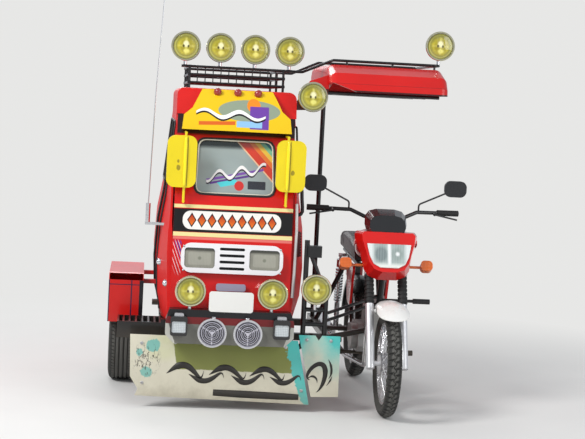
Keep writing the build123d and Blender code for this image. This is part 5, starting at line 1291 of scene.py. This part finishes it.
class TRICYCLE_OT_fasteners(bpy.types.Operator):
    """Set the screws of the face's bezel, the bolts of the board and its flap, and the rivets of the fender
    """

    bl_idname = "tricycle.fasteners"
    bl_label = "Screws and rivets"

    def execute(self, context):
        steel = bare_metal("screw_steel", "b8b8ba", 0.22, stain=0.5)
        seat = 0.0001
        bezel = [(CAB_X + x, FACE_FOOT_Y + (z - FACE_FOOT_Z) * FACE_LEAN - BEZEL_SKIN, z)
                 for x in (-0.262, 0.262) for z in (0.752, 0.880)]
        board = [(x, BOARD_Y + seat, z) for x, z in (
            (-0.80, 0.350), (-0.62, 0.360), (-0.40, 0.365), (-0.20, 0.365), (-0.02, 0.355),
            (-0.79, 0.135), (0.075, 0.120))]
        flap = [(x, FLAP_Y + seat, z) for x, z in ((0.093, 0.399), (0.225, 0.398))]
        edge = [(-1.000, y, 0.640) for y in np.linspace(-0.15, 0.45, 9)]
        for name, head, places in (
            ("face_screws", screw((0, -1, FACE_LEAN)), bezel),
            ("board_bolts", screw((0, -1, 0), 0.009, 0.005), board + flap),
            ("fender_rivets", screw((-1, 0, 0), 0.005, -0.001), edge),
        ):
            piece(name, repeated(head, places), steel)
        return {"FINISHED"}


def stroke(points, widths, y, thick=0.0007, steps=40):
    """A flat brush stroke on a plane of constant y: a smooth line through the points with a width
    that changes along it, closed front and back. The line is read by interpolation on its length."""
    points = np.asarray(points, float)
    marks = np.linspace(0, 1, len(points))
    fine = np.linspace(0, 1, steps)
    bend = min(4, len(points) - 1)
    line = np.stack([np.polyval(np.polyfit(marks, column, bend), fine) for column in points.T], -1)
    width = np.interp(fine, np.linspace(0, 1, len(widths)), widths)[:, None]
    along = unit(np.gradient(line, axis=0))
    normal = np.stack([-along[:, 1], along[:, 0]], -1)
    left, right = line + normal * width / 2, line - normal * width / 2
    ring = np.stack([
        np.stack([edge[:, 0], np.full(steps, depth), edge[:, 1]], -1)
        for edge, depth in ((left, y), (right, y), (right, y - thick), (left, y - thick))], 1)
    last = (steps - 1) * 4
    ends = [[3, 2, 1, 0], [last, last + 1, last + 2, last + 3]]
    return ring.reshape(-1, 3), rows_to_faces(steps, 4, close_columns=True) + ends


class TRICYCLE_OT_ornaments(bpy.types.Operator):
    """Paint the flowing black ornaments on the front board and its flap"""

    bl_idname = "tricycle.ornaments"
    bl_label = "Board ornaments"

    def execute(self, context):
        black = moulded("board_black", "101112", 0.45, dust=0.15)
        base = 0.190
        flames = []
        for start, length, lift, width in (
            (-0.66, 0.20, 0.085, 0.036), (-0.54, 0.19, -0.060, 0.030), (-0.43, 0.20, 0.075, 0.034),
            (-0.31, 0.18, -0.062, 0.030), (-0.21, 0.19, 0.072, 0.032), (-0.10, 0.17, -0.055, 0.028),
        ):
            flames.append(stroke(
                [(start + length * far, base + lift * high)
                 for far, high in ((0, 0), (0.3, 0.5), (0.6, 0.45), (0.85, -0.1), (1, 0.25))],
                [0.002, width, width * 0.9, width * 0.5, 0.001], BOARD_Y))
        flames.append(stroke([(-0.405, 0.094), (-0.25, 0.090), (-0.05, 0.086), (0.062, 0.084)],
                             [0.034, 0.040, 0.038, 0.030], BOARD_Y))
        piece("board_flames", together(*flames), black, smooth=0)
        swirl = [stroke(points, widths, FLAP_Y) for points, widths in (
            (((0.118, 0.180), (0.112, 0.215), (0.140, 0.262), (0.185, 0.268), (0.205, 0.225), (0.190, 0.165),
              (0.158, 0.112)), (0.004, 0.018, 0.022, 0.026, 0.028, 0.020, 0.001)),
            (((0.216, 0.296), (0.232, 0.262), (0.236, 0.222), (0.222, 0.190)), (0.001, 0.013, 0.012, 0.001)),
            (((0.108, 0.186), (0.135, 0.200), (0.155, 0.188), (0.160, 0.165)), (0.003, 0.012, 0.010, 0.001)),
            (((0.240, 0.205), (0.232, 0.180), (0.212, 0.150)), (0.001, 0.010, 0.001)),
        )]
        piece("flap_swirl", together(*swirl), black, smooth=0)
        return {"FINISHED"}


class TRICYCLE_OT_stage(bpy.types.Operator):
    """Set the floor, the backdrop, the soft light and the camera"""

    bl_idname = "tricycle.stage"
    bl_label = "Stage"

    def execute(self, context):
        scene = context.scene
        pale = (0.80, 0.80, 0.79, 1)
        floor = Finish("floor_card", Specular_IOR_Level=0.1, Roughness=0.95)
        floor.set(floor.mix(floor.noise(2.0, 3.0), "dcdbd8", "e2e1de"))
        x, y, _ = floor.place()
        away = ((reach(x, y) - 1.9) * (1 / 2.2)).clipped()
        haze = floor.node("ShaderNodeEmission", [], [("Color", pale), ("Strength", 1.0)])
        blend = floor.node("ShaderNodeMixShader", [], [
            (0, away), (1, Wire(floor, floor.shader.outputs[0])), (2, haze)])
        floor.feed(floor.tree.nodes["Material Output"].inputs[0], blend)
        mesh = bpy.data.meshes.new("floor")
        mesh.from_pydata([(-14, -14, 0), (14, -14, 0), (14, 14, 0), (-14, 14, 0)], [], [[0, 1, 2, 3]])
        ground = bpy.data.objects.new("floor", mesh)
        scene.collection.objects.link(ground)
        mesh.materials.append(floor.material)

        world = bpy.data.worlds.new("studio")
        scene.world = world
        world.use_nodes = True
        sky = Wiring(world.node_tree)
        sky.tree.nodes.clear()
        seen, through = (
            sky.node("ShaderNodeLightPath", out=ray) for ray in ("Is Camera Ray", "Is Transmission Ray"))
        glow, card = (
            sky.node("ShaderNodeBackground", [], [(0, colour), (1, strength)])
            for colour, strength in (((0.86, 0.90, 0.96, 1), 0.55), (pale, 1.0)))
        either = sky.node("ShaderNodeMixShader", [], [(0, seen.most(through)), (1, glow), (2, card)])
        sky.node("ShaderNodeOutputWorld", [], [(0, either)], out=None)

        for name, place, aim, size, watts in (
            ("key", (-4.4, -3.6, 5.2), (0, 0, 0.9), 2.0, 330.0),
            ("fill", (4.6, -5.0, 3.2), (0, 0, 0.9), 3.6, 130.0),
            ("back", (-1.5, 5.2, 4.6), (0, 0, 1.0), 3.0, 150.0),
        ):
            lamp = bpy.data.lights.new(name, "AREA")
            lamp.size = size
            lamp.energy = watts
            holder = bpy.data.objects.new(name, lamp)
            scene.collection.objects.link(holder)
            holder.location = place
            holder.rotation_euler = (Vector(aim) - Vector(place)).to_track_quat("-Z", "Y").to_euler()

        yaw, pitch, roll = (math.radians(v) for v in (5.5, -4.27, 3.0))
        ahead = np.array((math.sin(yaw) * math.cos(pitch), math.cos(yaw) * math.cos(pitch), math.sin(pitch)))
        level = np.array((math.cos(yaw), -math.sin(yaw), 0.0))
        above = np.cross(level, ahead)
        right = math.cos(roll) * level + math.sin(roll) * above
        upward = -math.sin(roll) * level + math.cos(roll) * above
        data = bpy.data.cameras.new("camera")
        data.sensor_width = SENSOR_WIDTH
        data.lens = FOCAL_PIXELS / PHOTO_WIDTH * SENSOR_WIDTH
        data.clip_start, data.clip_end = 0.1, 100.0
        camera = bpy.data.objects.new("camera", data)
        scene.collection.objects.link(camera)
        turn = Matrix([[*axis, 0] for axis in (right, upward, -ahead)] + [[0, 0, 0, 1]]).transposed()
        turn.translation = Vector((-0.833, -9.145, 1.685))
        camera.matrix_world = turn
        scene.camera = camera
        scene.view_settings.view_transform = "Standard"
        return {"FINISHED"}


STEPS = (
    TRICYCLE_OT_stage, TRICYCLE_OT_cab_finish, TRICYCLE_OT_steel_finish, TRICYCLE_OT_trim_finish,
    TRICYCLE_OT_tyres, TRICYCLE_OT_seats, TRICYCLE_OT_seals, TRICYCLE_OT_lamp_inners,
    TRICYCLE_OT_cab_trim, TRICYCLE_OT_spokes, TRICYCLE_OT_fasteners, TRICYCLE_OT_ornaments,
)


class TRICYCLE_PT_panel(bpy.types.Panel):
    """The sidebar page that lists every step"""

    bl_label = "Tricycle"
    bl_idname = "TRICYCLE_PT_panel"
    bl_space_type = "VIEW_3D"
    bl_region_type = "UI"
    bl_category = "Tricycle"

    def draw(self, context):
        for group in (context.scene.tricycle_paint, context.scene.tricycle_tread):
            for word in group.__annotations__:
                self.layout.prop(group, word)
        for step in STEPS:
            self.layout.operator(step.bl_idname)


CLASSES = (PaintColours, TreadSizes, *STEPS, TRICYCLE_PT_panel)


def register():
    for made in CLASSES:
        bpy.utils.register_class(made)
    bpy.types.Scene.tricycle_paint = bpy.props.PointerProperty(type=PaintColours)
    bpy.types.Scene.tricycle_tread = bpy.props.PointerProperty(type=TreadSizes)


def unregister():
    del bpy.types.Scene.tricycle_tread
    del bpy.types.Scene.tricycle_paint
    for made in reversed(CLASSES):
        bpy.utils.unregister_class(made)


def main():
    register()
    for step in STEPS:
        group, word = step.bl_idname.split(".")
        getattr(getattr(bpy.ops, group), word)()


if __name__ == "__main__":
    main()
